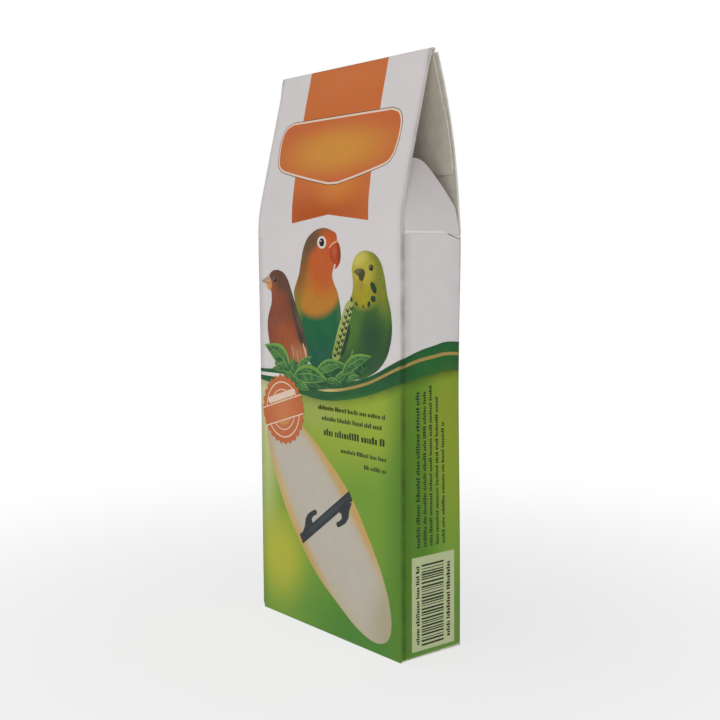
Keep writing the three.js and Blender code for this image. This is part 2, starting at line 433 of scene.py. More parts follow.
def make_piece(name, layers, materials):
    """One object from folded layers. Each layer is a dict: outline, surface, u_lines, v_lines,
    thickness, height above the surface, looks (material numbers of the printed side, the cut
    edge and the raw side) and marks, a function that gives crease and wear from 0 to 1. Crease is
    painted shade, and printed shadow under the wave; wear is rubbed fibre, and in places a painted
    highlight."""
    vertices, faces, looks, flat_faces, places, creases, wears_and_highlights = [], [], [], [], [], [], []
    total = 0
    for layer in layers:
        flat, cells, rim = rule(layer["outline"], layer["u_lines"], layer["v_lines"])
        u, v = flat.T
        facing = facing_of(layer["surface"], u, v)
        outer = layer["surface"](u, v) + facing * layer["height"]
        inner = outer - facing * layer["thickness"]
        count = len(u)
        printed, edge, raw = layer["looks"]
        for cell in cells:
            faces.append([total + k for k in cell])
            looks.append(printed)
            flat_faces.append(False)
            faces.append([total + count + k for k in reversed(cell)])
            looks.append(raw)
            flat_faces.append(False)
        for a, b in rim:
            faces.append([total + b, total + a, total + count + a, total + count + b])
            looks.append(edge)
            flat_faces.append(True)
        crease, wear_and_highlight = layer["marks"](u, v)
        places.append(np.stack([u, v, np.zeros(count)], 1))
        places.append(np.stack([u, v, np.full(count, layer["thickness"])], 1))
        creases += [crease, crease]
        wears_and_highlights += [wear_and_highlight, wear_and_highlight]
        vertices += [outer, inner]
        total += 2 * count
    mesh = bpy.data.meshes.new(name)
    mesh.from_pydata(np.vstack(vertices) * MM, [], faces)
    for material in materials:
        mesh.materials.append(material)
    mesh.polygons.foreach_set("material_index", looks)
    mesh.polygons.foreach_set("use_smooth", [not flat for flat in flat_faces])
    for label, kind, values in (("place", "FLOAT_VECTOR", np.vstack(places)),
                                ("crease", "FLOAT", np.concatenate(creases)),
                                ("wear_and_highlight", "FLOAT", np.concatenate(wears_and_highlights))):
        made = mesh.attributes.new(label, kind, "POINT")
        made.data.foreach_set("vector" if kind == "FLOAT_VECTOR" else "value",
                              values.astype(np.float32).ravel())
    mesh.update()
    mesh.set_sharp_from_angle(angle=math.radians(SHARP_DEG))
    piece = bpy.data.objects.new(name, mesh)
    bpy.context.scene.collection.objects.link(piece)
    print(f"{name}: {len(mesh.vertices)} vertices")
    return piece


def board(outline, surface, u_lines, v_lines, marks, height=0.0, looks=(0, 1, 2)):
    """A layer of board for make_piece: printed side, cut edge and raw side."""
    return dict(outline=outline, surface=surface, u_lines=u_lines, v_lines=v_lines,
                thickness=BOARD, height=height, looks=looks, marks=marks)


# %% [markdown]
# ## Materials: one small node helper and one colour function
#
# Every finish here is paper of one kind or another: coated and printed outside, uncoated inside,
# and torn-looking at the cut. Colours are given as the hex values a designer would use and
# turned to linear light by one function. One helper adds any node, sets it, fills or links its
# inputs and hands back one of its outputs, so a material reads from top to bottom.

# %% Colours and nodes
MIX_A, MIX_B, MIX_OUT = 6, 7, 2      # the colour sockets of a Mix node
COLOURS = {"data_type": "RGBA"}
SOFT = {"interpolation_type": "SMOOTHSTEP"}


def linear(hex_colour):
    channels = [int(hex_colour[k:k + 2], 16) / 255 for k in (1, 3, 5)]
    light = [c / 12.92 if c <= 0.04045 else ((c + 0.055) / 1.055) ** 2.4 for c in channels]
    return (*light, 1.0)


def add(tree, kind, settings={}, inputs=(), output=0):
    """Adds a node and returns one of its outputs. Inputs are a list in the node's own order, or a
    dict by name or number. A value is filled in, and another node's output is linked."""
    node = tree.nodes.new("ShaderNode" + kind)
    for label, value in settings.items():
        setattr(node, label, value)
    for label, value in inputs.items() if isinstance(inputs, dict) else enumerate(inputs):
        if isinstance(value, bpy.types.NodeSocket):
            tree.links.new(value, node.inputs[label])
        else:
            node.inputs[label].default_value = value
    if node.outputs:
        return node.outputs[output]


def new_material(name):
    material = bpy.data.materials.new(name)
    material.use_nodes = True
    material.node_tree.nodes.clear()
    print("finish", name)
    return material, material.node_tree


def grain(tree, place, size_mm, detail=3.0, stretch=(1, 1, 1), turn_deg=0.0, offset=0.0):
    """Noise from 0 to 1 whose blotches are about size_mm across, stretched along the blank."""
    scaled = add(tree, "Mapping", {"vector_type": "TEXTURE"},
                 {"Vector": place, "Location": (offset, 0, 0),
                  "Rotation": (0, 0, math.radians(turn_deg)),
                  "Scale": tuple(size_mm * k for k in stretch)})
    return add(tree, "TexNoise", {}, {"Vector": scaled, "Scale": 1.0, "Detail": detail}, "Fac")


# %% [markdown]
# ## Coated and printed board
#
# The outside is white-lined chipboard: recycled grey board under a thin clay coating, printed in
# offset litho and sealed with a satin varnish. To the eye that is a smooth but never flat white,
# Along creases the colour is darkened as painted shade, and where the board has rubbed it shows
# white fibre, which along some creases and edges is also a painted highlight. IOR 1.5 and a roughness near
# 0.45 are usual for satin varnish.

# %% Ink and varnish on board
# White of rubbed fibre, also used as a painted highlight along the dust flaps' creases and heels.
FIBRE_AND_HIGHLIGHT_WHITE = linear("#efece6")
BRUISE = linear("#8d8b84")
CREASE_SHADE = linear("#a09e9c")   # painted shade: multiplies the colour along creases and roof margins, and as printed shadow under the wave
CLOUD_MM = 6.0            # formation clouds in the board
FIBRE_MM = 0.9            # paper fibre, drawn about three times coarser than real so that it shows
SATIN = 0.44              # roughness of the satin varnish
VARNISH_BUMP_MM = 0.05


def varnished(material, tree, colour, place, rough):
    """Ends a printed material: painted crease shade and printed shadow, white fibre and painted highlights,
    cloudy board and satin varnish.
    """
    clouds = grain(tree, place, CLOUD_MM, 4)
    fibre = grain(tree, place, FIBRE_MM, 2, offset=3.0)
    thin = add(tree, "MapRange", {}, [clouds, 0.35, 0.7, 0.0, 0.05])
    cloudy = add(tree, "Mix", COLOURS, {0: thin, MIX_A: colour, MIX_B: BRUISE}, MIX_OUT)
    # painted shade along creases and roof margins, and printed shadow under the wave, from the crease
    # attribute
    shade_amount = add(tree, "Attribute", {"attribute_name": "crease"}, output="Fac")
    patchy = add(tree, "MapRange", {}, [clouds, 0.3, 0.7, 0.6, 1.0])
    patchy_shade = add(tree, "Math", {"operation": "MULTIPLY"}, [shade_amount, patchy])
    dark = add(tree, "Mix", {**COLOURS, "blend_type": "MULTIPLY"},
               {0: patchy_shade, MIX_A: cloudy, MIX_B: CREASE_SHADE}, MIX_OUT)
    # white rubbed fibre, and painted highlights along the dust flaps' creases and heels
    wear_and_highlight_amount = add(tree, "Attribute", {"attribute_name": "wear_and_highlight"}, output="Fac")
    whiteness = add(tree, "Math", {"operation": "ADD"}, [wear_and_highlight_amount, fibre])
    white_fibre_and_highlight = add(tree, "MapRange", SOFT, [whiteness, 1.02, 1.16, 0.0, 1.0])
    final = add(tree, "Mix", COLOURS, {0: white_fibre_and_highlight, MIX_A: dark, MIX_B: FIBRE_AND_HIGHLIGHT_WHITE}, MIX_OUT)
    uneven = add(tree, "Math", {"operation": "ADD"}, [clouds, fibre])
    bump = add(tree, "Bump", {}, {"Height": uneven, "Strength": 0.12,
                                  "Distance": VARNISH_BUMP_MM * MM})
    satin = add(tree, "MapRange", {}, [fibre, 0.3, 0.7, rough - 0.05, rough + 0.07])
    surface = add(tree, "BsdfPrincipled", {}, {
        "Base Color": final, "Roughness": satin, "IOR": 1.5, "Specular IOR Level": 0.18,
        "Normal": bump})
    add(tree, "OutputMaterial", {}, {"Surface": surface})
    return material


def printed_ink(name, base, spots=(), streaks=None, rough=SATIN):
    """Offset ink with airbrushed spots of other colours. A spot is (hex, centre, half sizes,
    turn in degrees, softness, strength). Streaks are (hex, width mm, length mm, turn, strength)."""
    material, tree = new_material(name)
    place = add(tree, "Attribute", {"attribute_name": "place"}, output="Vector")
    colour = add(tree, "RGB")
    colour.default_value = linear(base)
    for hex_colour, centre, half, turn, soft, strength in spots:
        local = add(tree, "Mapping", {"vector_type": "TEXTURE"},
                    {"Vector": place, "Location": (*centre, 0),
                     "Rotation": (0, 0, math.radians(turn)), "Scale": (*half, 1)})
        far = add(tree, "VectorMath", {"operation": "LENGTH"}, [local], "Value")
        inside = add(tree, "MapRange", SOFT, [far, 1 + soft, 1 - soft, 0.0, strength])
        colour = add(tree, "Mix", COLOURS, {0: inside, MIX_A: colour, MIX_B: linear(hex_colour)}, MIX_OUT)
    if streaks:
        hex_colour, width, length, turn, strength = streaks
        lines = grain(tree, place, width, 3, (1, length / width, 1), turn)
        streaky = add(tree, "MapRange", {}, [lines, 0.42, 0.66, 0, strength])
        colour = add(tree, "Mix", COLOURS, {0: streaky, MIX_A: colour, MIX_B: linear(hex_colour)}, MIX_OUT)
    return varnished(material, tree, colour, place, rough)


coated_white = printed_ink("coated_white_board", "#ded9d8")

# %% [markdown]
# ## The raw side and the cut edge
#
# The inside of recycled board isn't coated. It is matt, grey-beige, and full of short fibres and
# specks, so it gets no varnish, a high roughness and a deeper bump. A die-cut edge shows the
# board's core with the white coating crushed over it, which reads as a pale, ragged line.

# %% Uncoated board and die-cut edge
def raw_paper(name, base, fleck, fleck_share, depth):
    material, tree = new_material(name)
    place = add(tree, "Attribute", {"attribute_name": "place"}, output="Vector")
    clouds = grain(tree, place, 4.0, 4)
    fibres = grain(tree, place, 0.7, 3, (1, 4, 1), 20, 5.0)
    mottle = add(tree, "MapRange", {}, [clouds, 0.3, 0.7, 0, 0.4])
    mottled = add(tree, "Mix", COLOURS, {0: mottle, MIX_A: linear(base), MIX_B: linear(fleck)}, MIX_OUT)
    flecks = add(tree, "MapRange", {}, [fibres, 0.55, 0.7, 0, fleck_share])
    colour = add(tree, "Mix", COLOURS, {0: flecks, MIX_A: mottled, MIX_B: linear(fleck)}, MIX_OUT)
    bump = add(tree, "Bump", {}, {"Height": fibres, "Strength": 0.35, "Distance": depth * MM})
    surface = add(tree, "BsdfPrincipled", {}, {
        "Base Color": colour, "Roughness": 0.85, "IOR": 1.45, "Normal": bump})
    add(tree, "OutputMaterial", {}, {"Surface": surface})
    return material


raw_board = raw_paper("uncoated_grey_board", "#cfc9bb", "#b3ab9b", 0.4, 0.08)
cut_edge = raw_paper("die_cut_edge", "#d8d4cc", "#a9a294", 0.6, 0.1)
BOARD_MATERIALS = [coated_white, cut_edge, raw_board]

# %% [markdown]
# ## Where shade and highlights are painted, and where the board is rubbed
#
# Each vertical crease gets painted shade, a soft dark band about 1.3 mm wide. The corners at the
# floor and the top creases are knocked in handling, so white fibre shows there. Along the dust
# flaps' creases and heels that white is also a painted highlight. Shade and white are given as
# amounts at each place of the blank, and the materials turn them into marks.

# %% Crease and wear on the sleeve
CORNER_PLACES = [FRONT_END + CORNER_RUN / 2, RIGHT_END + CORNER_RUN / 2,
                 -FRONT_END - CORNER_RUN / 2, -right_side(flat_y) - 0.8]


def hump(value, centre, half):
    """1 at the centre, falling smoothly to 0 at half away."""
    return 1 - smooth_step(np.abs(value - centre), 0.0, half)


# How hard each corner is knocked at the floor, and how far that shows, in millimetres.
KNOCKS = ((1.0, 1.4), (0.7, 1.6), (0.8, 1.8), (0.5, 1.5))


def sleeve_marks(s, v):
    crease = np.zeros_like(s)
    wear_and_highlight = 0.35 * (1 - smooth_step(v, 0.0, 1.1))
    for corner, (strength, reach) in zip(CORNER_PLACES, KNOCKS):
        # painted shade: a soft dark band along each vertical crease
        crease = np.maximum(crease, 0.95 * hump(s, corner + 0.15, 1.6))
        near = np.clip(1 - np.hypot(s - corner, v * 0.8) / reach, 0, 1)
        wear_and_highlight = np.maximum(wear_and_highlight, strength * near)
    return crease, wear_and_highlight


# %% [markdown]
# ## Cut and fold the sleeve
#
# The outline runs along the lower flaps from the glue flap to the back wall, and back along the
# top. A relief nick is cut behind each side wall's top crease, so that a dust flap can fold
# without dragging the back roof with it.

# %% The sleeve
NICK_Y = 6.3               # where the top crease ends and the nick starts
NICK_DROP = 1.5
DUST_REACH = 20.0          # bottom dust flaps, from their crease
DUST_HALF, DUST_TIP = 11.0, 8.5            # half their width at the crease and at the tip
PANEL_SIDE = 0.9           # the bottom panel is this much narrower at each side
dust_crease = dust_floor + FOLD
panel_run = float(panel_fold[1][-1])


def lower_dust(at):
    """A bottom dust flap's outline on the side wall whose s is at(y), from back to front."""
    bevel = DUST_HALF - 0.8
    return [(at(DUST_HALF), dust_crease), (at(bevel), -DUST_REACH + 3), (at(DUST_TIP), -DUST_REACH),
            (at(-DUST_TIP), -DUST_REACH), (at(-bevel), -DUST_REACH + 3), (at(-DUST_HALF), dust_crease)]


def nicked_top(at, turn):
    """A side wall's top edge with its nick, from front to back. `turn` is the rear corner's s."""
    return [(at(NICK_Y), SEAM_Z), (at(flat_y - 0.3), SEAM_Z - NICK_DROP),
            (turn, SEAM_Z - NICK_DROP * 0.9)]


left_lap = -right_side(LAP_Y - LAP_RADIUS)           # where the glue flap starts to turn in
lap_turn = left_lap - LAP_RADIUS * math.pi / 4
back_turn = RIGHT_END + CORNER_RUN / 2
panel_left = back_side(HALF_WIDTH - PANEL_SIDE - CORNER * 0.3)
panel_right = back_side(-HALF_WIDTH + PANEL_SIDE + CORNER * 0.3)

sleeve_outline = (
    [(SLEEVE_START, 10), (lap_turn - 1.2, 6), (lap_turn, dust_floor)]
    + lower_dust(left_side)
    + [(-FRONT_END - CORNER_RUN * 0.55, 0.0), (FRONT_END + CORNER_RUN * 0.55, 0.0)]
    + lower_dust(right_side)[::-1]
    + [(back_turn, 0.2), (panel_left, FOLD), (panel_left + 0.6, FOLD - panel_run + 3),
       (panel_left + 3.6, FOLD - panel_run), (panel_right - 3.6, FOLD - panel_run),
       (panel_right - 0.6, FOLD - panel_run + 3), (panel_right, FOLD), (SLEEVE_END, 0.2),
       (SLEEVE_END, SEAM_Z), (BACK_START, SEAM_Z)]
    + nicked_top(right_side, back_turn)[::-1]
    + nicked_top(left_side, lap_turn)
    + [(lap_turn - 1.2, SEAM_Z - 6), (SLEEVE_START, SEAM_Z - 10)]
)

SLEEVE_U = ruled((SLEEVE_START, SLEEVE_END, 7.0),
                 *[(c - 1.12, c + 1.12, 0.28) for c in CORNER_PLACES])
TUCK_CREASE = FOLD - panel_run + 12.6        # where the bottom tuck flap turns up
SLEEVE_V = ruled((-40, 125, 7.0), (126, SEAM_Z, 1.3), (-0.8, 2.0, 0.2),
                 (TUCK_CREASE - 1.4, TUCK_CREASE, 0.2))

sleeve = make_piece("sleeve", [board(sleeve_outline, sleeve_surface, SLEEVE_U, SLEEVE_V, sleeve_marks)],
                    BOARD_MATERIALS)
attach(sleeve, "carton")
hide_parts("front_wall", "back_wall", "right_side_wall", "left_side_wall", "glue_flap",
            "bottom_panel", "bottom_tuck_flap", "right_bottom_dust_flap", "left_bottom_dust_flap")

# %% [markdown]
# ## The two roof panels and the dust flaps
#
# On the carton each of these swings about a top crease. The real crease is a living hinge: the
# same board goes on round it. So each panel starts a little below its crease, with rows of
# vertices close enough for a smooth bend.

# %% Front roof, ridge fold and tuck flap in one sheet
ZONE = (SEAM_Z, CREASE_Z + 0.7)              # the heights between which a crease bends
ZONE_ROWS = (SEAM_Z, CREASE_Z + 0.8, 0.175)  # and its rows of vertices


def over_crease(piece):
    """Bakes the piece's transform into its mesh."""
    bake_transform(piece)


MARGIN_FOOT = flat_x + CORNER * 1.2       # the margins keep this much of the corner's turn
MARGIN_TOP = flat_x + CORNER * 0.9
TUCK_HALF = (HALF_WIDTH - 1.45, HALF_WIDTH - 0.9)   # the tuck flap is relieved near the ridge
TUCK_CORNER = 1.6

right_half = np.vstack([
    [(MARGIN_FOOT, SEAM_Z), (MARGIN_TOP, SEAM_Z + 12), (MARGIN_TOP, ridge_on),
     (MARGIN_TOP, ridge_off - 0.5), (TUCK_HALF[0], ridge_off + 0.7), (TUCK_HALF[0], ridge_off + 16),
     (TUCK_HALF[1], ridge_off + 18.5)],
    arc((TUCK_HALF[1] - TUCK_CORNER, tuck_end - TUCK_CORNER), TUCK_CORNER, 0, 90, 8),
])
front_outline = np.vstack([right_half, (right_half * (-1, 1))[::-1]])


def roof_marks(u, v):
    # painted shade: darker side margins of the roof; white worn fibre at the ridge fold and along the
    # margins' edges
    crease = 0.62 * smooth_step(np.abs(u), flat_x - 0.35, flat_x + 0.7)
    worn = 0.62 * hump(v, (ridge_on + ridge_off) / 2, 2.2) * smooth_step(np.abs(u), 20, 38)
    return crease, np.maximum(worn, 0.4 * smooth_step(np.abs(u), flat_x + 0.6, MARGIN_TOP))


ROOF_U = ruled((-36, 36, 6.0), (-39, -flat_x, 0.26), (flat_x, 39, 0.26))
ROOF_V = ruled(ZONE_ROWS, (135.5, 148, 0.9), (148, ridge_on, 8.0),
               (ridge_on - 8, ridge_on, 1.0), (ridge_on, ridge_off, 0.27),
               (ridge_off, tuck_end, 3.0))

front_roof = make_piece("front_roof", [board(front_outline, front_surface, ROOF_U, ROOF_V, roof_marks)],
                        BOARD_MATERIALS)
over_crease(front_roof)
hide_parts("front_roof_panel", "tuck_flap")

# %% [markdown]
# ## The back roof
#
# The tuck flap pushes the back roof out, so it bows. It has no fold and is cut a little narrower
# than the wall. A cloth simulation would find such a bow, but its profile already holds it.

# %% Back roof
back_margin, back_foot = flat_x + CORNER * 0.8, flat_x + CORNER * 1.1
back_outline = [(-back_foot, SEAM_Z), (back_foot, SEAM_Z), (back_margin, SEAM_Z + 8),
                (back_margin, back_end), (-back_margin, back_end), (-back_margin, SEAM_Z + 8)]
BACK_V = ruled(ZONE_ROWS, (135.5, back_end, 3.5))

back_roof = make_piece("back_roof", [board(back_outline, back_surface, ROOF_U, BACK_V, roof_marks)],
                       BOARD_MATERIALS)
over_crease(back_roof)
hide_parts("back_roof_panel")

# %% [markdown]
# ## The dust flaps
#
# Under each end of the tent a dust flap leans in. Its front edge follows the front roof, its rear
# edge slants from a shoulder to a rounded corner. The nick in the side wall frees the flap's rear
# foot, here called its heel, which stays flat while the flap bends. The heel could be cut in the
# same outline, but the flap's surface would bend it too, so it is a small piece that rides the flap's body.

# %% Dust flaps, each with the heel that its relief nick frees
DUST_TOP = CREASE_Z + 24.6
SHOULDER_Z = CREASE_Z + 8.0
HEEL_TOP = CREASE_Z + 1.6
HEEL_LIFT = 0.02             # the heel lies this much over the flap's foot, which hides the joint
FLAP_REAR = 11.4             # the flap's rear edge at its foot
CORNER_CUT = 3.0             # where the rounding of the rear corner starts, along each edge
dust_corner, dust_shoulder = np.array([2.4, DUST_TOP]), np.array([11.0, SHOULDER_Z])
slant = dust_shoulder - dust_corner
slant_start = dust_corner + CORNER_CUT * slant / np.linalg.norm(slant)
dust_outline = np.vstack([
    [(-11.75, SEAM_Z), (NICK_Y, SEAM_Z), (NICK_Y, ZONE[1]), (FLAP_REAR, ZONE[1]), dust_shoulder],
    bend(slant_start, dust_corner, dust_corner - (CORNER_CUT, 0), 8),
    [(-7.1, DUST_TOP), (-11.3, SHOULDER_Z)],
])
heel_outline = [(NICK_Y - 0.4, SEAM_Z + 0.3), (NICK_Y + 0.3, SEAM_Z + 0.25),
                (flat_y - 0.3, SEAM_Z - NICK_DROP + 0.3), (FLAP_REAR, HEEL_TOP),
                (NICK_Y - 0.4, HEEL_TOP)]
DUST_U = ruled((-12, 12, 2.0))
DUST_V = ruled(ZONE_ROWS, (135.5, DUST_TOP, 2.5))


def dust_marks(u, v):
    # a white line along the flap's crease is worn coating and a painted highlight; the heel's lower edge
    # gets a painted highlight; a painted shade line lies just under the crease
    lip_wear_and_highlight = hump(v, CREASE_Z, 0.6) * smooth_step(-u, -7.5, -5.0)
    heel_edge_highlight = smooth_step(u, NICK_Y, NICK_Y + 1) * (1 - smooth_step(v, SEAM_Z - 1.2, SEAM_Z + 1.0))
    return 0.3 * hump(v, SEAM_Z - 0.3, 0.8), np.maximum(0.95 * lip_wear_and_highlight, 0.8 * heel_edge_highlight)


def mirrored(outline):
    return (np.array(outline, float) * (-1, 1))[::-1]


for side, surface, heel_surface, turn in (("right", right_dust_surface, right_heel_surface, 1),
                                          ("left", left_dust_surface, left_heel_surface, -1)):
    flap_outline = dust_outline if turn > 0 else mirrored(dust_outline)
    heel = heel_outline if turn > 0 else mirrored(heel_outline)
    body = side + "_dust"

    def marks(u, v, turn=turn):
        return dust_marks(u * turn, v)

    flap = make_piece(side + "_dust_flap_board", [board(flap_outline, surface, DUST_U, DUST_V, marks)],
                      BOARD_MATERIALS)
    over_crease(flap)
    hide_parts(side + "_dust_flap")
    heel_board = board(heel, heel_surface, DUST_U, DUST_V, marks, HEEL_LIFT, looks=(0, 0, 2))
    heel_piece = make_piece(side + "_dust_flap_heel", [heel_board], BOARD_MATERIALS)
    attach(heel_piece, body)

# %% [markdown]
# ## The print, as thin skins of ink
#
# On the real carton all colours lie in one varnished film. Here every printed shape is a closed
# skin that stands on the board, and each one is 0.01 mm higher than the one under it, as a
# screen printer would stack spot colours. Painting one texture would be the usual way, but a
# shape made from an outline stays sharp close up and folds with the board. Soft changes of
# colour, which a litho screen gives, are made inside each ink by spots.
#
# The design is a plain one of this kind of packet: a ribbon and a plaque left bare of words,
# three small birds over leaves, a wave, a green ground, a bone with its clip, and a seal.

# %% Curves for printed shapes
LIFT = 0.010            # how much higher each ink lies than the one under it
ROOT = 0.008            # how far an ink soaks into the board


def curve_runs(points, steps):
    """Catmull-Rom stretches: a smooth curve through every point but the first and last."""
    t = np.linspace(0, 1, steps, endpoint=False)[:, None]
    return [0.5 * (2 * b + (c - a) * t + (2 * a - 5 * b + 4 * c - d) * t**2
                   + (3 * b - a - 3 * c + d) * t**3)
            for a, b, c, d in zip(points, points[1:], points[2:], points[3:])]


def smooth_line(points, steps=6):
    p = np.array(points, float)
    p = np.vstack([2 * p[0] - p[1], p, 2 * p[-1] - p[-2]])
    return np.vstack(curve_runs(p, steps) + [p[-2:-1]])


def smooth_loop(points, steps=5):
    p = np.array(points, float)
    return np.vstack(curve_runs(np.vstack([p[-1:], p, p[:2]]), steps))


def ellipse(centre, half, turn=0.0, steps=24):
    angle = np.radians(np.arange(steps) * 360 / steps)
    x, y = half[0] * np.cos(angle), half[1] * np.sin(angle)
    c, s = math.cos(math.radians(turn)), math.sin(math.radians(turn))
    return np.stack([centre[0] + c * x - s * y, centre[1] + s * x + c * y], 1)


def capsule(start, end, width):
    """A bar from start to end with round ends."""
    turn = math.degrees(math.atan2(end[1] - start[1], end[0] - start[0]))
    return np.vstack([arc(end, width / 2, turn - 90, turn + 90, 8),
                      arc(start, width / 2, turn + 90, turn + 270, 8)])


def stroke(points, width, tip=1.0):
    """The outline of a pen stroke. `tip` is the share of its width that is left at each end."""
    line = np.array(points, float)
    ahead = np.gradient(line, axis=0)
    ahead /= np.linalg.norm(ahead, axis=1)[:, None]
    across = np.stack([-ahead[:, 1], ahead[:, 0]], 1)
    t = np.linspace(-1, 1, len(line))[:, None]
    half = width / 2 * (tip + (1 - tip) * np.sqrt(1 - t**2))
    return np.vstack([line + across * half, (line - across * half)[::-1]])


def run_and_across(base, tip):
    """The straight run from base to tip, and the unit direction to its left."""
    run = tip - base
    return run, np.array([-run[1], run[0]]) / np.linalg.norm(run)


def leaf(base, tip, width, curl, low=-1.0, high=1.0):
    """A leaf blade from base to tip, bowed sideways by curl. low and high pick a part of it
    across, from -1 at one margin to 1 at the other."""
    run, across = run_and_across(base, tip)
    t = np.linspace(0, 1, 13)[1:-1, None]
    middle = base + t * run + across * curl * np.sin(math.pi * t)
    half = width / 2 * np.sin(math.pi * t**0.75)
    return np.vstack([[base], middle + across * half * high, [tip],
                      (middle + across * half * low)[::-1]])


def widened(outline, margin):
    """An outline moved outwards by a margin, corner by corner."""
    points = np.array(outline, float)
    ahead = np.roll(points, -1, 0) - points
    twice_area = np.sum(points[:, 0] * ahead[:, 1] - points[:, 1] * ahead[:, 0])
    ahead /= np.linalg.norm(ahead, axis=1)[:, None]
    out = np.stack([ahead[:, 1], -ahead[:, 0]], 1) * np.sign(twice_area)
    before = np.roll(out, 1, 0)
    share = 1 + np.sum(out * before, axis=1)
    return points + margin * (out + before) / np.maximum(share, 0.5)[:, None]


def skin(outline, order, ink, surface=sleeve_surface, lines=((), ()), marks=no_marks):
    """One printed shape as a layer for make_piece. `ink` is its place in the list of inks."""
    return dict(outline=outline, surface=surface, u_lines=lines[0], v_lines=lines[1],
                thickness=LIFT * order + ROOT, height=LIFT * order, looks=(ink, ink, ink), marks=marks)


def blob(points, order, ink, steps=5, **where):
    """A printed shape whose smooth outline goes through these points."""
    return skin(smooth_loop(points, steps), order, ink, **where)


def pen_line(points, order, ink, width, tip, steps, **where):
    """A printed line, drawn as by a pen through these points."""
    return skin(stroke(smooth_line(points, steps), width, tip), order, ink, **where)


# %% [markdown]
# ## Green ground and wave
#
# The ground runs round all four walls and under the bottom, so that a shelf edge never shows
# white. Its colour wanders from pale yellow-green at the left to deep green at the right. The
# wave above it is two dark green strands with a gold line between them. It rises to the right,
# round the corner and back to where it started, so the two ends meet at the glued lap.

# %% Wave heights round the sleeve
# Along the blank: upper edge, top of the gold line, its foot, and lower edge.
WAVE = {
    -64.0: (87.6, 86.9, 86.0, 84.6),
    -38.7: (87.6, 86.4, 85.3, 83.7),
    -20.0: (88.0, 86.3, 84.8, 81.3),
    0.0: (85.6, 83.5, 82.5, 79.5),
    20.0: (88.4, 87.0, 86.0, 82.6),
    38.7: (96.0, 94.0, 93.0, 88.4),
    51.0: (99.2, 96.4, 95.3, 90.3),
    63.5: (99.9, 96.6, 95.6, 90.8),
    102.0: (93.5, 91.2, 90.2, 86.0),
    141.5: (87.6, 86.9, 86.0, 84.6),
}
wave_places = np.array(list(WAVE))
wave_heights = np.array(list(WAVE.values()))
wave_lines = [smooth_line(np.stack([wave_places, heights], 1), 8) for heights in wave_heights.T]
WAVE_START, WAVE_END = lap_turn + 0.3, SLEEVE_END - 0.05


def wave(which, drop=0.0):
    """The wave's line number `which` as points along the blank, lowered by drop."""
    line = wave_lines[which]
    inside = (line[:, 0] > WAVE_START) & (line[:, 0] < WAVE_END)
    ends = [(s, np.interp(s, *line.T)) for s in (WAVE_START, WAVE_END)]
    return np.vstack([ends[0], line[inside], ends[1]]) - (0, drop)


def strip(upper, lower):
    return np.vstack([upper, lower[::-1]])


# %% [markdown]
# ## Printing the ground and the wave
#
# A press lays the ground in one pass, with a soft dark edge under the wave. Airbrushed spots in
# the ink give its drifting greens. A gradient node could do that along one line, but the colour
# changes differently on every wall. The dark edge is three strips whose crease marks fade down.

# %% Print the ground and the wave
GROUND_EDGE = 0.05
INK_HALF = DUST_HALF - 0.2         # the ink ends this far from the middle of a side wall
side_foot = dust_crease - 0.9
ground_foot = [
    (WAVE_START, dust_crease), (left_side(DUST_HALF), dust_crease), (left_side(INK_HALF), side_foot),
    (left_side(-INK_HALF), side_foot), (left_side(-DUST_HALF), dust_crease),
    (-FRONT_END - CORNER_RUN * 0.5, GROUND_EDGE), (FRONT_END + CORNER_RUN * 0.5, GROUND_EDGE),
    (right_side(-DUST_HALF), dust_crease), (right_side(-INK_HALF), side_foot),
    (right_side(INK_HALF), side_foot), (right_side(DUST_HALF), dust_crease), (back_turn, 0.3),
    (panel_left + GROUND_EDGE, FOLD), (panel_left + 0.6, TUCK_CREASE),
    (panel_right - 0.6, TUCK_CREASE), (panel_right - GROUND_EDGE, FOLD),
    (WAVE_END, 0.3),
]
side_middle = right_side(0)
green_ground = printed_ink("litho_green_ground", "#749f2e", [
    ("#d6d3a2", (-41, 70), (12, 24), 0, 0.5, 1.0),
    ("#b9c878", (-38, 45), (9, 20), 0, 0.6, 0.75),
    ("#9cb035", (18, 74), (37, 14), 8, 0.7, 0.95),
    ("#a5b05a", (-6, 76), (12, 6), 0, 0.8, 0.7),
    ("#babb36", (-27, 22), (12, 14), 0, 0.75, 0.95),
    ("#48862c", (22, 5), (32, 17), 10, 0.7, 0.95),
    ("#689434", (38, 36), (8, 28), 0, 0.8, 0.7),
    ("#54831a", (side_middle - 8, 40), (10, 70), 0, 0.7, 0.95),
    ("#8c9f22", (side_middle + 10, 72), (11, 27), 0, 0.7, 0.95),
    ("#66913a", (side_middle + 6, 6), (16, 16), 0, 0.7, 0.8),
    ("#97ad35", (100, 60), (34, 26), 20, 0.8, 0.8),
    ("#4f8733", (125, 14), (30, 20), -10, 0.8, 0.8),
])
strand_green = printed_ink("litho_strand_green", "#185a2d", [
    ("#3f8029", (6, 79), (26, 1.6), 12, 0.8, 0.5),
    ("#0c4a24", (35, 93.5), (8, 5), 20, 0.8, 0.8),
    ("#226a26", (side_middle, 94), (12, 4), 10, 0.8, 0.7),
    ("#3f6a1e", (side_middle + 2, 89), (16, 2.5), 12, 0.8, 0.7),
])
gold_line = printed_ink("litho_gold_line", "#a98f4c", [
    ("#d2c681", (-1, 83), (8, 3), 5, 0.8, 0.8), ("#e6e3dd", (-38, 86), (14, 4), 0, 0.3, 1.0)])
SHADE_STEPS = (0.0, 0.85, 1.7, 3.4)    # edges of the strips under the wave, going down
WAVE_SHADE = SHADE_STEPS[-1]


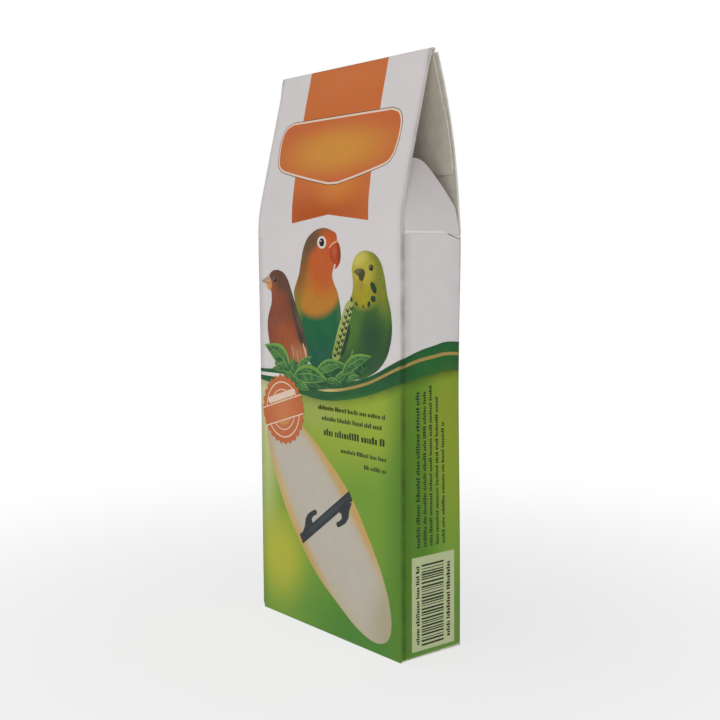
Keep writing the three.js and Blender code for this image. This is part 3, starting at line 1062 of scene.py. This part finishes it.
def wave_shade(s, v):
    """Painted shade along the corner creases, and the printed shadow that fades from the wave's lower edge
    downwards.
    """
    crease, wear_and_highlight = sleeve_marks(s, v)
    below = np.interp(s, *wave_lines[3].T) - v
    deep = 0.6 + 0.4 * smooth_step(s, 5, 38)
    return np.maximum(crease, deep * np.clip(1 - below / WAVE_SHADE, 0, 1) ** 1.3), wear_and_highlight


on_sheet = dict(lines=(SLEEVE_U, SLEEVE_V), marks=sleeve_marks)
in_shade = dict(lines=(SLEEVE_U, SLEEVE_V), marks=wave_shade)
ground = make_piece("printed_ground", [
    skin(strip(wave(2), np.array(ground_foot)), 1, 0, **on_sheet),
    *[skin(strip(wave(3, high), wave(3, low)), 2, 0, **in_shade)
      for high, low in zip(SHADE_STEPS, SHADE_STEPS[1:])],
    skin(strip(wave(0), wave(3)), 4, 1, **on_sheet),
    skin(strip(wave(1), wave(2)), 5, 2, **on_sheet),
], [green_ground, strand_green, gold_line])
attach(ground, "carton")

# %% [markdown]
# ## Ribbon and plaque
#
# Both lie on the lid. The ribbon starts at the ridge and ends in a swallow-tail just above the
# crease. The plaque's two thin borders are wider copies of its own shape, one under the other. A
# picture projected from the front would stretch over the bend. So heights are given above the
# floor and turned into distances up the bent panel.

# %% Ribbon and plaque
def up_roof(z):
    """The distance up the front roof's profile at height z."""
    points, lengths = front_profile
    rising = lengths <= (ridge_on + ridge_off) / 2
    return float(np.interp(z, points[rising, 1], lengths[rising]))


def on_roof(*points):
    return [(x, up_roof(z)) for x, z in points]


ribbon_left = smooth_line(on_roof((-21.5, 190.1), (-21.3, 174), (-20, 155), (-17.8, 138.4)), 6)
ribbon_right = smooth_line(on_roof((22.7, 138.4), (20.5, 155), (19.3, 174), (19, 190.1)), 6)
ribbon_shape = np.vstack([ribbon_left, on_roof((2, 140.8)), ribbon_right])
plaque_side = smooth_line(on_roof((29.7, 159), (30.6, 163), (30.6, 168.2), (28.9, 171.3), (25.4, 172.6)), 4)
plaque_shape = np.vstack([
    plaque_side, plaque_side[::-1] * (-1, 1) + (-0.9, 0),
    smooth_line(on_roof((-29, 157.7), (-25.4, 156.4), (-12, 153.5), (-0.6, 151.4)), 3),
    smooth_line(on_roof((4.4, 151.4), (14.8, 153.4), (25.8, 155.9), (28.4, 157.1)), 3)])

ribbon_ink = printed_ink("litho_ribbon_orange", "#cf713b", [
    ("#b5561f", (-5, up_roof(140)), (26, 7), 0, 0.8, 0.85),
    ("#d98a3c", (4, up_roof(150)), (9, 5), 0, 0.8, 0.7),
    ("#d57c46", (0, up_roof(186)), (20, 7), 0, 0.8, 0.5)])
plaque_ink = printed_ink("litho_plaque_orange", "#cd6c3c", [
    ("#d8963f", (0, up_roof(162)), (23, 7), 0, 0.7, 0.95)])
cream_ink = printed_ink("litho_cream", "#ead3c0")
brown_ink = printed_ink("litho_brown_line", "#6d5138")

on_lid = dict(surface=front_surface, lines=((), ROOF_V))
ribbon = make_piece("printed_ribbon", [
    skin(ribbon_shape, 1, 0, **on_lid),
    skin(widened(plaque_shape, 0.95), 2, 3, **on_lid),
    skin(widened(plaque_shape, 0.7), 3, 2, **on_lid),
    skin(plaque_shape, 4, 1, **on_lid),
], [ribbon_ink, plaque_ink, cream_ink, brown_ink])
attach(ribbon, "lid")

# %% [markdown]
# ## The bone and its clip
#
# A cuttlebone is a long oval with a warm, thin rim and a chalky face. A dark moulded clip with
# two hooks holds it to a cage's bars. Here both are only printed, so a rounded mesh would be
# wrong: they are flat skins, and airbrushed spots in the ink make the bone look round. One hook
# is drawn, and the other is the same one after half a turn.

# %% Bone and clip
bone_shape = smooth_loop([
    (-34, 66), (-31.5, 55), (-25, 42), (-17, 31), (-6, 19.5), (6, 11.5), (16, 5.8), (25, 3.4),
    (31, 5.4), (33.1, 10.8), (31.8, 19), (27.8, 28), (21.5, 38), (13.5, 49), (4, 57.5), (-6, 65),
    (-14, 70), (-22, 75), (-30, 74)])
bone_ink = printed_ink("litho_bone_rim", "#cca55c", [
    ("#c4b68e", (27, 14), (17, 16), -60, 0.5, 0.9),
    ("#c4bcad", (1.2, 35.6), (50, 13.7), -48.5, 0.18, 1.0),
    ("#c6b78e", (20, 9.5), (20, 7.5), -42, 0.7, 0.85),
    ("#c5bdaf", (3, 35), (42, 10), -50, 0.3, 1.0),
    ("#d8bd7e", (-24, 44), (3, 12), 32, 0.7, 0.4),
    ("#aba27c", (32, 11), (8, 12), -15, 0.7, 0.7),
], streaks=("#b8ae9e", 3.0, 12, -41, 0.14))
slate_ink = printed_ink("litho_clip_slate", "#2f3538", [
    ("#454d53", (1, 41), (12, 0.8), 36, 0.8, 0.6)])
clip_bar = [(-15.2, 31.2), (-13.4, 28.2), (14.1, 48.0), (12.2, 50.9)]
hook = np.array([
    (-13.6, 32), (-12.2, 34.6), (-11.7, 37.4), (-10.3, 39.3), (-8.2, 40.6), (-6.2, 41.6),
    (-5.2, 41.0), (-5.3, 40.0), (-7.0, 39.2), (-8.2, 38.0), (-7.9, 36.8), (-6.6, 36.2), (-9.5, 33)])
CLIP_MIDDLE = np.array([0.1, 39.6])         # the second hook is the first, half a turn about this

bone = make_piece("printed_bone", [
    skin(bone_shape, 2, 0),
    skin(clip_bar, 3, 1),
    skin(hook, 4, 1),
    skin(2 * CLIP_MIDDLE - hook, 4, 1),
], [bone_ink, slate_ink])
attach(bone, "carton")

# %% [markdown]
# ## Three birds
#
# Each bird is a body outline in one ink, whose soft spots give the head, breast and belly, and
# small sharp shapes on it: beak, eye, wing, bars and spots. Fine streaks along the body read as
# feathers. The middle bird's head passes the lid's crease, so that piece lies on the front roof's surface.

# %% Finch
finch_body = printed_ink("litho_finch_russet", "#874428", [
    ("#94502f", (-28, 112), (4, 5), 0, 0.8, 0.6),
    ("#b0582b", (-21.5, 98.5), (8, 5.5), -20, 0.8, 0.85),
    ("#884838", (-30.5, 104), (3, 8), 0, 0.8, 0.4),
    ("#62422f", (-24.2, 119.8), (8.4, 3.9), -16, 0.45, 1.0),
    ("#5a4233", (-16.2, 111), (3.4, 12), 24, 0.6, 0.95),
    ("#a4532c", (-30.2, 116.6), (2.4, 2.4), 0, 0.8, 0.9),
    ("#c07a4a", (-14.5, 94), (4.5, 3), 0, 0.9, 0.9),
], streaks=("#6a3a2a", 0.7, 4.5, 12, 0.35))
finch_wing = printed_ink("litho_finch_wing", "#4f4034", [
    ("#7a5c44", (-14.5, 106), (0.7, 5), 25, 0.8, 0.7)], streaks=("#2e2a28", 0.6, 5, 22, 0.6))
finch_beak = printed_ink("litho_finch_beak", "#d3b9a0", [
    ("#d98d4c", (-30.8, 117.2), (1.8, 2.2), 0, 0.7, 0.9),
    ("#9a8272", (-33, 119.4), (3, 0.5), 12, 0.8, 0.7)])
eye_black = printed_ink("litho_eye_black", "#1d1a1b", rough=0.3)
eye_white = printed_ink("litho_eye_white", "#e4ddd6")
brow_ink = printed_ink("litho_brow", "#7c5a48")


def bird_eye(centre, radius, ring, order, inks, **where):
    """A round eye with a catchlight in a bare ring. inks are those of ring, eye and catchlight."""
    shine = (centre[0] - radius * 0.3, centre[1] + radius * 0.35)
    return [skin(ellipse(centre, ring), order, inks[0], **where),
            skin(ellipse(centre, (radius, radius)), order + 1, inks[1], **where),
            skin(ellipse(shine, (radius * 0.22, radius * 0.22), steps=10), order + 2, inks[2], **where)]


# Pale feathers at the finch's tail: x, height, how far each reaches sideways, and its width.
TAIL_FEATHERS = ((-12.4, 98.0, 1.4, 0.9), (-18.8, 97.0, 1.0, 0.25), (-16.2, 95.6, 0.8, 0.2))

finch = make_piece("printed_finch", [
    blob([(-32.2, 119.6), (-29.8, 122.1), (-26.3, 122.6), (-22.8, 121.6), (-20.4, 119.2),
          (-18.4, 115.4), (-14.2, 107.3), (-11.6, 101.5), (-9.8, 96), (-10, 91.5), (-18, 89),
          (-26, 91), (-31, 95.2), (-32.9, 101), (-32.6, 106), (-30.4, 111), (-30.3, 114.8),
          (-31.6, 117)], 8, 0),
    blob([(-18.9, 112.6), (-16.2, 109.8), (-13.3, 105), (-11.2, 100), (-10.5, 96.6),
          (-12.4, 96.8), (-14.6, 99.5), (-16.4, 104), (-18, 108.5)], 9, 1),
    blob([(-31.4, 120.5), (-33.8, 119.9), (-36.1, 118.7), (-34.2, 117.6), (-31.3, 115.4),
          (-29.9, 117.6)], 9, 2, 4),
    pen_line([(-35.9, 118.7), (-33.2, 118.3), (-30.8, 117.9)], 10, 3, 0.3, 0.4, 4),
    *[pen_line([(x, z), (x + reach, z - 2.4), (x + 1.5 * reach, z - 5)], 10, 2, wide, 0.2, 3)
      for x, z, reach, wide in TAIL_FEATHERS],
    *bird_eye((-27.9, 119.3), 1.0, (1.5, 1.3), 9, (3, 4, 5)),
], [finch_body, finch_wing, finch_beak, brow_ink, eye_black, eye_white])
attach(finch, "carton")

# %% [markdown]
# ## The middle bird
#
# This bird is the tallest. Its feet are on the wall and its head is on the lid, so its skins lie
# on the front roof's surface, which carries on down the wall. Cutting it in two at the crease
# would leave a gap when the lid opens, so it is one piece.

# %% Lovebird, across the crease
love_body = printed_ink("litho_lovebird_body", "#046438", [
    ("#005641", (-1, 90), (12, 9), 0, 0.8, 0.85),
    ("#3c6a44", (8.3, 108), (1.8, 9), 5, 0.7, 0.8),
    ("#0a5c38", (-11, 99), (2.5, 7), 15, 0.8, 0.6),
    ("#c37f20", (-5.2, 121.2), (15.5, 14.0), 0, 0.13, 1.0),
    ("#7f8a2c", (-16.6, 112.5), (3.0, 6.5), 20, 0.6, 0.9),
    ("#c85d22", (-0.6, 125.5), (9.6, 10), 0, 0.45, 1.0),
    ("#d0561f", (4.5, 132), (5.5, 5), 0, 0.7, 0.8),
    ("#8e5c22", (-12.6, 124.5), (4.0, 10.5), -12, 0.7, 1.0),
    ("#6e4e35", (-7.6, 132.6), (6.6, 3.6), 28, 0.5, 1.0),
    ("#6f5238", (-10.6, 129), (2.6, 5), -25, 0.8, 0.7),
], streaks=("#2f5a34", 0.8, 3.5, 8, 0.12))
love_beak = printed_ink("litho_lovebird_beak", "#b24419", [
    ("#8f3518", (8.4, 126.8), (1.0, 4), 8, 0.8, 0.8),
    ("#d5663a", (5.6, 129), (1.2, 2), 0, 0.8, 0.5),
], rough=0.36)
beak_line = printed_ink("litho_beak_line", "#efb491")

lovebird = make_piece("printed_lovebird", [
    blob([(7, 133.4), (4.2, 135.6), (0, 136.5), (-4.5, 135.8), (-8.6, 133.5), (-11, 130.3),
          (-12.4, 126.5), (-13.8, 121.5), (-15.4, 118.4), (-16.9, 115.2), (-16.2, 111.4),
          (-14.8, 107), (-12.4, 100.5), (-10.6, 93.5), (-4, 89.4), (3, 89), (7, 93), (8.6, 100),
          (8.8, 108), (7.3, 115), (5.0, 118.9), (4.3, 121.5), (5.6, 125)], 5, 0, **on_lid),
    blob([(6.4, 132.1), (8.2, 131), (8.9, 128.4), (8.6, 125.6), (7.3, 123.9), (5.7, 123.1),
          (6.2, 124.5), (4.6, 125.4), (3.0, 127.4), (3.6, 130)], 6, 1, 4, **on_lid),
    pen_line([(2.9, 129.9), (4.6, 131.2), (7.9, 132.4)], 7, 2, 0.5, 0.4, 5, **on_lid),
    *bird_eye((-1.0, 131.8), 1.35, (2.4, 2.05), 6, (4, 3, 4), surface=front_surface),
], [love_body, love_beak, beak_line, eye_black, eye_white])
over_crease(lovebird)

# %% [markdown]
# ## The right-hand bird
#
# A budgerigar's wing and nape are barred, and its throat is spotted. The bars come in even rows,
# so loops lay them out. The throat spots differ in size and turn, so they stay a short list.

# %% Budgerigar
budgie_body = printed_ink("litho_budgerigar_body", "#487028", [
    ("#1f4d2a", (24.5, 101), (6.5, 8.5), 8, 0.7, 0.95),
    ("#24502f", (20, 93.5), (12, 4), 0, 0.8, 0.9),
    ("#294a30", (32.6, 99.5), (1.9, 7), -16, 0.7, 0.85),
    ("#557d31", (16, 106), (3.0, 6), -22, 0.8, 0.5),
    ("#9f9726", (20, 116), (7.6, 5.2), 0, 0.35, 1.0),
    ("#858826", (28.2, 120), (3.4, 9), 14, 0.7, 1.0),
    ("#beae3a", (19.4, 123.2), (6.2, 6.2), 0, 0.45, 1.0),
    ("#d8cd63", (18.5, 126.4), (3.4, 1.7), 20, 0.9, 0.8),
    ("#b09f10", (19.4, 115.6), (3.6, 3.4), 0, 0.8, 0.8),
    ("#a38f3a", (19, 118.4), (1.7, 2), 0, 0.7, 0.8),
], streaks=("#1f4a28", 0.8, 3.5, -6, 0.12))
budgie_wing = printed_ink("litho_budgerigar_wing", "#a9b063", [
    ("#7f9a4c", (6.4, 97), (2.5, 4), 0, 0.8, 0.7)])
dark_feather = printed_ink("litho_dark_feather", "#1f3f28")
grey_beak = printed_ink("litho_grey_beak", "#4c4526", [
    ("#7e7446", (17.6, 122.4), (1.6, 0.5), 10, 0.8, 0.7)])
nape_olive = printed_ink("litho_nape_olive", "#6f742c")

budgie_bars = []
for row in range(8):
    foot = np.array([4.5, 95.6]) + np.array([0.98, 2.12]) * row
    for column in range(2):
        start = foot + np.array([2.0, -0.1]) * column + (0, 0.9 * column)
        bar = [start, start + (0.95, -1.0), start + (1.75, 0.1)]
        budgie_bars.append(pen_line(bar, 11, 2, 0.75, 0.15, 4))
for k in range(6):
    drop = 1.4 * k
    bar = [(26.2 + 0.5 * k, 124.4 - drop), (27.2 + 0.5 * k, 124.5 - drop), (28.2 + 0.45 * k, 123.9 - drop)]
    budgie_bars.append(pen_line(bar, 9, 4, 0.2, 0.3, 3))
THROAT_SPOTS = [((14.3, 113.4), (0.6, 0.85), 20), ((16.8, 112.1), (0.5, 0.8), 30),
                ((23.0, 112.2), (0.75, 1.0), -10), ((25.1, 113.9), (1.25, 1.05), 0),
                ((25.3, 117.4), (1.15, 2.1), 35), ((20.2, 111.4), (0.35, 0.6), 0)]

budgie = make_piece("printed_budgerigar", [
    blob([(21.8, 128.9), (26, 127.8), (29, 124.8), (30.6, 120.4), (31.8, 115), (33.4, 110),
          (33.9, 104), (32.6, 98.5), (30.3, 94.6), (26, 91), (18, 88), (9, 89), (6.5, 94),
          (9.8, 103), (12.6, 110.6), (14.8, 116), (15.1, 119.6), (14.6, 123.3), (16, 126.6),
          (18.6, 128.4)], 8, 0),
    blob([(15, 113.2), (11.8, 112.4), (9.6, 108.6), (7.2, 103.6), (5.2, 98.6), (4.0, 94.6),
          (5.6, 92.6), (8.4, 95), (10.2, 99.6), (12.2, 104.2), (14.2, 108.6)], 9, 1),
    blob([(8.2, 95.2), (10, 99.2), (11.9, 103.4), (13.1, 105.8), (13.3, 102.6), (11.6, 98.6),
          (9.8, 95.4)], 10, 2),
    *budgie_bars,
    *[skin(ellipse(*spot, steps=14), 10, 2) for spot in THROAT_SPOTS],
    blob([(15.7, 122.2), (17.4, 123.2), (20.2, 123.2), (21.2, 121.8), (19.9, 119.4),
          (18.4, 119.9), (17.8, 121)], 9, 3, 4),
    *bird_eye((24.2, 123.6), 0.85, (1.25, 1.1), 9, (4, 5, 6)),
], [budgie_body, budgie_wing, dark_feather, grey_beak, nape_olive, eye_black, eye_white])
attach(budgie, "carton")

# %% [markdown]
# ## Leaves
#
# Glossy leaves cover the birds' feet. They could be drawn one by one, but all are built alike. So
# one function lays a light blade, a darker half on each side of a pale midrib, and a few side
# veins, and every leaf is one line of numbers: base, tip, width and curl.

# %% Leaves
leaf_light = printed_ink("litho_leaf_light", "#6f9a3e", streaks=("#8fb55a", 0.8, 2.5, 60, 0.4))
leaf_deep = printed_ink("litho_leaf_deep", "#255f37", streaks=("#5f9a4c", 1.6, 4.0, 65, 0.6))
leaf_pale = printed_ink("litho_leaf_midrib", "#6f9c50")
leaf_shade = printed_ink("litho_leaf_shade", "#17482b", [
    ("#3c7440", (-20, 88), (8, 4), 0, 0.9, 0.6)], streaks=("#4d8a4a", 1.2, 3.2, 55, 0.7))

LEAVES = [      # base, tip, width, curl; those at the back come first
    ((-15.5, 87.5), (-7.2, 93.8), 3.6, 0.8), ((13.5, 89), (15.0, 97.8), 2.6, 0.2),
    ((9, 89), (24.4, 95.9), 4.6, 1.4), ((-5.5, 88.4), (11.5, 92.2), 4.2, 1.3),
    ((-19.5, 87.6), (-35, 96.2), 7.6, -1.8), ((-22, 90.5), (-30.5, 88.0), 3.0, 0.6),
    ((5, 86.5), (12.5, 91.5), 2.8, -0.5), ((12, 87.2), (18.2, 89.2), 2.0, 0.3),
    ((-17.5, 86.8), (2.0, 86.2), 6.4, 1.2), ((-17.5, 86.2), (-8.6, 82.2), 3.6, -0.7),
    ((-20, 88), (-16.6, 92.6), 2.4, 0.3), ((0.5, 86), (8.5, 86.2), 2.0, 0.5),
    ((-22.5, 87.5), (-15.5, 83.6), 2.4, 0.4),
]


def leaf_skins(base, tip, width, curl, order):
    """One leaf: a light blade, two darker halves with the midrib left between, and side veins."""
    base, tip = np.array(base, float), np.array(tip, float)
    run, across = run_and_across(base, tip)
    upper, lower = ((0.08, 0.62), (-0.88, -0.06)) if across[1] > 0 else ((-0.62, -0.08), (0.06, 0.88))
    skins = [skin(leaf(base, tip, width, curl), order, 0),
             skin(leaf(base + 0.04 * run, tip - 0.06 * run, width, curl, *upper), order + 1, 1),
             skin(leaf(base + 0.02 * run, tip - 0.03 * run, width, curl, *lower), order + 1, 1)]
    if width > 3:
        for share in (0.25, 0.42, 0.6):
            root = base + share * run + across * curl * math.sin(math.pi * share)
            for way in (-1, 1):
                reach = width / 2 * 0.8 * math.sin(math.pi * (share + 0.12) ** 0.75)
                end = root + 0.15 * run + way * across * reach
                vein = [root, (root + end) / 2 + 0.02 * run, end]
                skins.append(pen_line(vein, order + 2, 2, 0.16, 0.2, 3))
    return skins


leaf_layers = [blob([
    (-29, 90), (-24, 91.6), (-16, 91.2), (-8, 91), (0, 90.4), (9, 92), (16, 93.6), (22, 92.6),
    (19, 89), (10, 85.6), (2, 83.6), (-8, 82.4), (-17, 82.6), (-23, 86)], 11, 3)]
for number, (base, tip, width, curl) in enumerate(LEAVES):
    leaf_layers += leaf_skins(base, tip, width, curl, 12 + number % 3 * 3)
leaves = make_piece("printed_leaves", leaf_layers, [leaf_light, leaf_deep, leaf_pale, leaf_shade])
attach(leaves, "carton")

# %% [markdown]
# ## The seal
#
# The seal is a scalloped disc with plain rings, and a slanting bar where such a seal has its
# word. A cosine round a circle gives the scallops. The disc is ruled into 3 mm squares, because
# one face with so many corners is cut into long thin triangles that can turn over.

# %% Seal
SEAL_CENTRE, SEAL_RADIUS = np.array([-24.3, 74.0]), 11.9
SCALLOPS, SCALLOP_DEPTH = 26, 0.5
SEAL_TILT = 16.5                  # degrees
seal_angle = np.radians(np.arange(SCALLOPS * 4) * 360 / (SCALLOPS * 4))
seal_reach = SEAL_RADIUS + SCALLOP_DEPTH * np.cos(SCALLOPS * seal_angle)
seal_edge = SEAL_CENTRE + np.stack([np.cos(seal_angle), np.sin(seal_angle)], 1) * seal_reach[:, None]


def on_seal(*points):
    """Points given along and across the seal's slanting bar."""
    c, s = math.cos(math.radians(SEAL_TILT)), math.sin(math.radians(SEAL_TILT))
    return [SEAL_CENTRE + (c * x - s * y, s * x + c * y) for x, y in points]


seal_rust = printed_ink("litho_seal_rust", "#c66a38", [
    ("#d98a55", tuple(SEAL_CENTRE), (6, 6), 0, 0.8, 0.5)])
seal_gold = printed_ink("litho_seal_gold", "#cf9350")
seal_cream = printed_ink("litho_seal_cream", "#ecd2bd")
RINGS = [(9.9, 2), (9.45, 0), (7.2, 2), (6.85, 0), (5.4, 1)]      # radius and ink, from below
SEAL_ORDER = 15
seal_lines = (ruled((-36, -12, 3.0)), ruled((62, 86, 3.0)))
seal_layers = [skin(seal_edge, SEAL_ORDER, 0, lines=seal_lines)]
seal_layers += [skin(ellipse(SEAL_CENTRE, (radius, radius), steps=40), SEAL_ORDER + 1 + k, look)
                for k, (radius, look) in enumerate(RINGS)]
bar_low, bar_high = on_seal((-6.6, 4.7), (8.0, 4.7))
seal_layers += [
    skin(on_seal((-11.6, -3.6), (11.6, -3.6), (11.9, 3.0), (-11.9, 3.0)), SEAL_ORDER + 6, 0),
    skin(on_seal((-11.9, 2.7), (11.9, 2.7), (11.9, 3.1), (-11.9, 3.1)), SEAL_ORDER + 7, 2),
    skin(on_seal((-11.6, -3.8), (11.6, -3.8), (11.6, -3.4), (-11.6, -3.4)), SEAL_ORDER + 7, 2),
    skin(capsule(bar_low, bar_high, 2.3), SEAL_ORDER + 7, 2)]
seal = make_piece("printed_seal", seal_layers, [seal_rust, seal_gold, seal_cream])
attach(seal, "carton")

# %% [markdown]
# ## Fine print and label
#
# Fine print is drawn as rows of plain blocks, and the label holds plain bars, so nothing on the
# carton can be read. A font would make real letters, which this carton is to have none of. The
# blocks and bars come from one seeded random generator, so every run prints the same.

# %% Fine print and label
dice = np.random.default_rng(7)
letter_green = printed_ink("litho_text_green", "#1f3a12")


def dashes(start, end, size):
    """One row as (from, to, height): words of small blocks, here and there a tall one."""
    blocks, at = [], start
    while at < end - size:
        for _ in range(int(dice.integers(4, 11))):
            wide = size * float(dice.uniform(0.28, 0.5))
            if at + wide < end:
                blocks.append((at, at + wide, size * float(dice.choice([0.72, 0.72, 1.0]))))
            at += wide + 0.16 * size
        at += 0.4 * size
    return blocks


def front_block(foot):
    return lambda low, high, tall: [(low, foot), (high, foot), (high, foot + tall), (low, foot + tall)]


def side_block(s):
    return lambda low, high, tall: [(s, low), (s, high), (s - tall, high), (s - tall, low)]


FRONT_ROWS = ((76.3, -4, 1.5), (72.8, -2, 1.5), (67.8, -1, 2.3), (63.0, 8, 1.4), (59.2, 20, 1.4))
SIDE_ROWS = ((-5.6, 87, 1.6), (-2.8, 86, 1.3), (-0.2, 87, 1.3), (2.5, 84, 1.3), (5.2, 75, 1.3))
rows = [(front_block(height), start, 31, size) for height, start, size in FRONT_ROWS]
rows += [(side_block(right_side(y)), 36, end, size) for y, end, size in SIDE_ROWS]
print_layers = [skin(block(*span), 2, 0) for block, start, end, size in rows
                for span in dashes(start, end, size)]
fine_print = make_piece("printed_dashes", print_layers, [letter_green])
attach(fine_print, "carton")

label_ink = printed_ink("litho_label_pale_green", "#bfc898")
bar_ink = printed_ink("litho_bar_black", "#26301f")
label_front, label_rear = right_side(-9.1), right_side(9.3)
bars_front, bars_rear = right_side(-5.0), right_side(4.6)
label_layers = [skin([(label_front, 2.9), (label_rear, 2.6), (label_rear, 33.0),
                      (label_front, 33.2)], 2, 0)]
FIRST_BAR, LAST_BAR = 4.2, 30.6          # heights on the wall
bar_at = FIRST_BAR
while bar_at < LAST_BAR:
    bar_top = bar_at + float(dice.choice([0.28, 0.42, 0.62]))
    label_layers.append(skin([(bars_front, bar_at), (bars_rear, bar_at), (bars_rear, bar_top),
                              (bars_front, bar_top)], 3, 1))
    bar_at = bar_top + float(dice.choice([0.3, 0.45, 0.65]))
for y, size in ((-5.9, 1.5), (7.4, 1.6)):
    label_layers += [skin(side_block(right_side(y))(*span), 3, 1) for span in dashes(5.0, 30.5, size)]
label = make_piece("printed_label", label_layers, [label_ink, bar_ink])
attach(label, "carton")

# %% [markdown]
# ## Camera
#
# The camera stands to the right of the carton's front and a little above its middle. It is level
# enough for the walls to stay upright in the picture, and near enough for the front to narrow
# towards its far side. Its three turns are made into axes by hand, so each can be set by itself.

# %% Camera
LENS_MM, SENSOR_MM = 55.11, 36.0
CAMERA_PLACE_MM = (288.34, -234.77, 127.53)
CAMERA_TURNS_DEG = (50.563, -5.432, -0.381)       # sideways, up and about its own axis

camera_data = bpy.data.cameras.new("packshot_camera")
camera_data.lens = LENS_MM
camera_data.sensor_width = SENSOR_MM
camera = bpy.data.objects.new("packshot_camera", camera_data)
bpy.context.scene.collection.objects.link(camera)
yaw, pitch, roll = (math.radians(degrees) for degrees in CAMERA_TURNS_DEG)
forward = Vector((-math.sin(yaw) * math.cos(pitch), math.cos(yaw) * math.cos(pitch),
                  math.sin(pitch)))
right = Vector((math.cos(yaw), math.sin(yaw), 0))
upright = right.cross(forward)
tilted_right = right * math.cos(roll) + upright * math.sin(roll)
tilted_up = upright * math.cos(roll) - right * math.sin(roll)
pose = Matrix((tilted_right, tilted_up, -forward)).transposed().to_4x4()
pose.translation = Vector(CAMERA_PLACE_MM) * MM
camera.matrix_world = pose
bpy.context.scene.camera = camera
print(f"camera {pose.translation.length / MM:.0f} mm from the carton's foot, {LENS_MM:.0f} mm lens")

# %% [markdown]
# ## Floor
#
# A packshot stands on pale seamless paper that burns out to white. Near the carton the paper is
# left matt, so that it takes a faint shadow. Farther off the paper itself glows white with its own
# light, which hides the horizon. A white plane under a brighter lamp would do this only in one view.

# %% Floor
FLOOR_RADIUS, FLOOR_SIDES = 4.0, 96               # metres
FLOOR_DROP = 0.2 * MM                             # it lies just clear of the carton's bottom
floor_mesh = bpy.data.meshes.new("studio_floor")
round_edge = arc((0, 0), FLOOR_RADIUS, 0, 360, FLOOR_SIDES)[:-1]
floor_mesh.from_pydata([(x, y, -FLOOR_DROP) for x, y in round_edge], [], [list(range(FLOOR_SIDES))])
floor = bpy.data.objects.new("studio_floor", floor_mesh)
bpy.context.scene.collection.objects.link(floor)
floor_material, floor_tree = new_material("seamless_paper_floor")
floor_place = add(floor_tree, "TexCoord", output="Object")
floor_noise = add(floor_tree, "TexNoise", {}, {"Vector": floor_place, "Scale": 60.0}, "Fac")
floor_mottle = add(floor_tree, "MapRange", {}, [floor_noise, 0.3, 0.7, 0, 0.5])
floor_colour = add(floor_tree, "Mix", COLOURS,
                   {0: floor_mottle, MIX_A: linear("#f4f4f3"), MIX_B: linear("#f1f1f0")}, MIX_OUT)
floor_surface = add(floor_tree, "BsdfPrincipled", {}, {"Base Color": floor_colour, "Roughness": 0.9})
away = add(floor_tree, "VectorMath", {"operation": "LENGTH"}, [floor_place], "Value")
glow_share = add(floor_tree, "MapRange", SOFT, [away, 0.05, 0.30, 0.70, 1.0])
paper_glow = add(floor_tree, "Emission", {}, {"Color": linear("#ffffff"), "Strength": 1.0})
floor_mix = add(floor_tree, "MixShader", {}, [glow_share, floor_surface, paper_glow])
add(floor_tree, "OutputMaterial", {}, {"Surface": floor_mix})
floor_mesh.materials.append(floor_material)
print(f"floor {2 * FLOOR_RADIUS:.0f} m across, {FLOOR_DROP / MM:.1f} mm below the carton")

# %% [markdown]
# ## Light
#
# A big soft box hangs over the front. A smaller one stands next to the camera, a little above
# it, because only light from there reaches into the open tent. The white room fills the rest. It
# is dimmer than it looks, so that the boxes still shape the carton.

# %% Two soft boxes and a white room
def soft_box(name, place, aim, size, watts):
    data = bpy.data.lights.new(name, "AREA")
    data.shape, data.size, data.energy = "SQUARE", size, watts
    lamp = bpy.data.objects.new(name, data)
    lamp.location = place
    lamp.rotation_mode = "QUATERNION"
    lamp.rotation_quaternion = (Vector(aim) - Vector(place)).to_track_quat("-Z", "Y")
    bpy.context.scene.collection.objects.link(lamp)
    print(f"{name}: {size:.1f} m square, {watts:.1f} W")


soft_box("top_softbox", place=(-0.1, -0.3, 1.3), aim=(0, 0, 0.1), size=1.2, watts=6.4)
soft_box("front_softbox", place=(0.94, -0.86, 0.34), aim=(0, 0, 0.12), size=0.6, watts=4.5)

BRIGHTEST_WALL = Vector((0.1, -0.93, 0.35)).normalized()    # the room is brightest in front
world = bpy.data.worlds.new("studio_white")
bpy.context.scene.world = world
world.use_nodes = True
sky = world.node_tree
sky.nodes.clear()
towards = add(sky, "TexCoord", output="Generated")
facing_lamp = add(sky, "VectorMath", {"operation": "DOT_PRODUCT"},
                  [towards, tuple(BRIGHTEST_WALL)], "Value")
lit = add(sky, "MapRange", SOFT, [facing_lamp, -0.2, 1.0, 0.14, 0.22])
backdrop = add(sky, "LightPath", output="Is Camera Ray")     # where the room itself is seen
strength = add(sky, "Mix", {}, {0: backdrop, 2: lit, 3: 1.0})
glow = add(sky, "Background", {}, {"Color": linear("#ffffff"), "Strength": strength})
add(sky, "OutputWorld", {}, {"Surface": glow})
bpy.context.scene.view_settings.view_transform = "Standard"
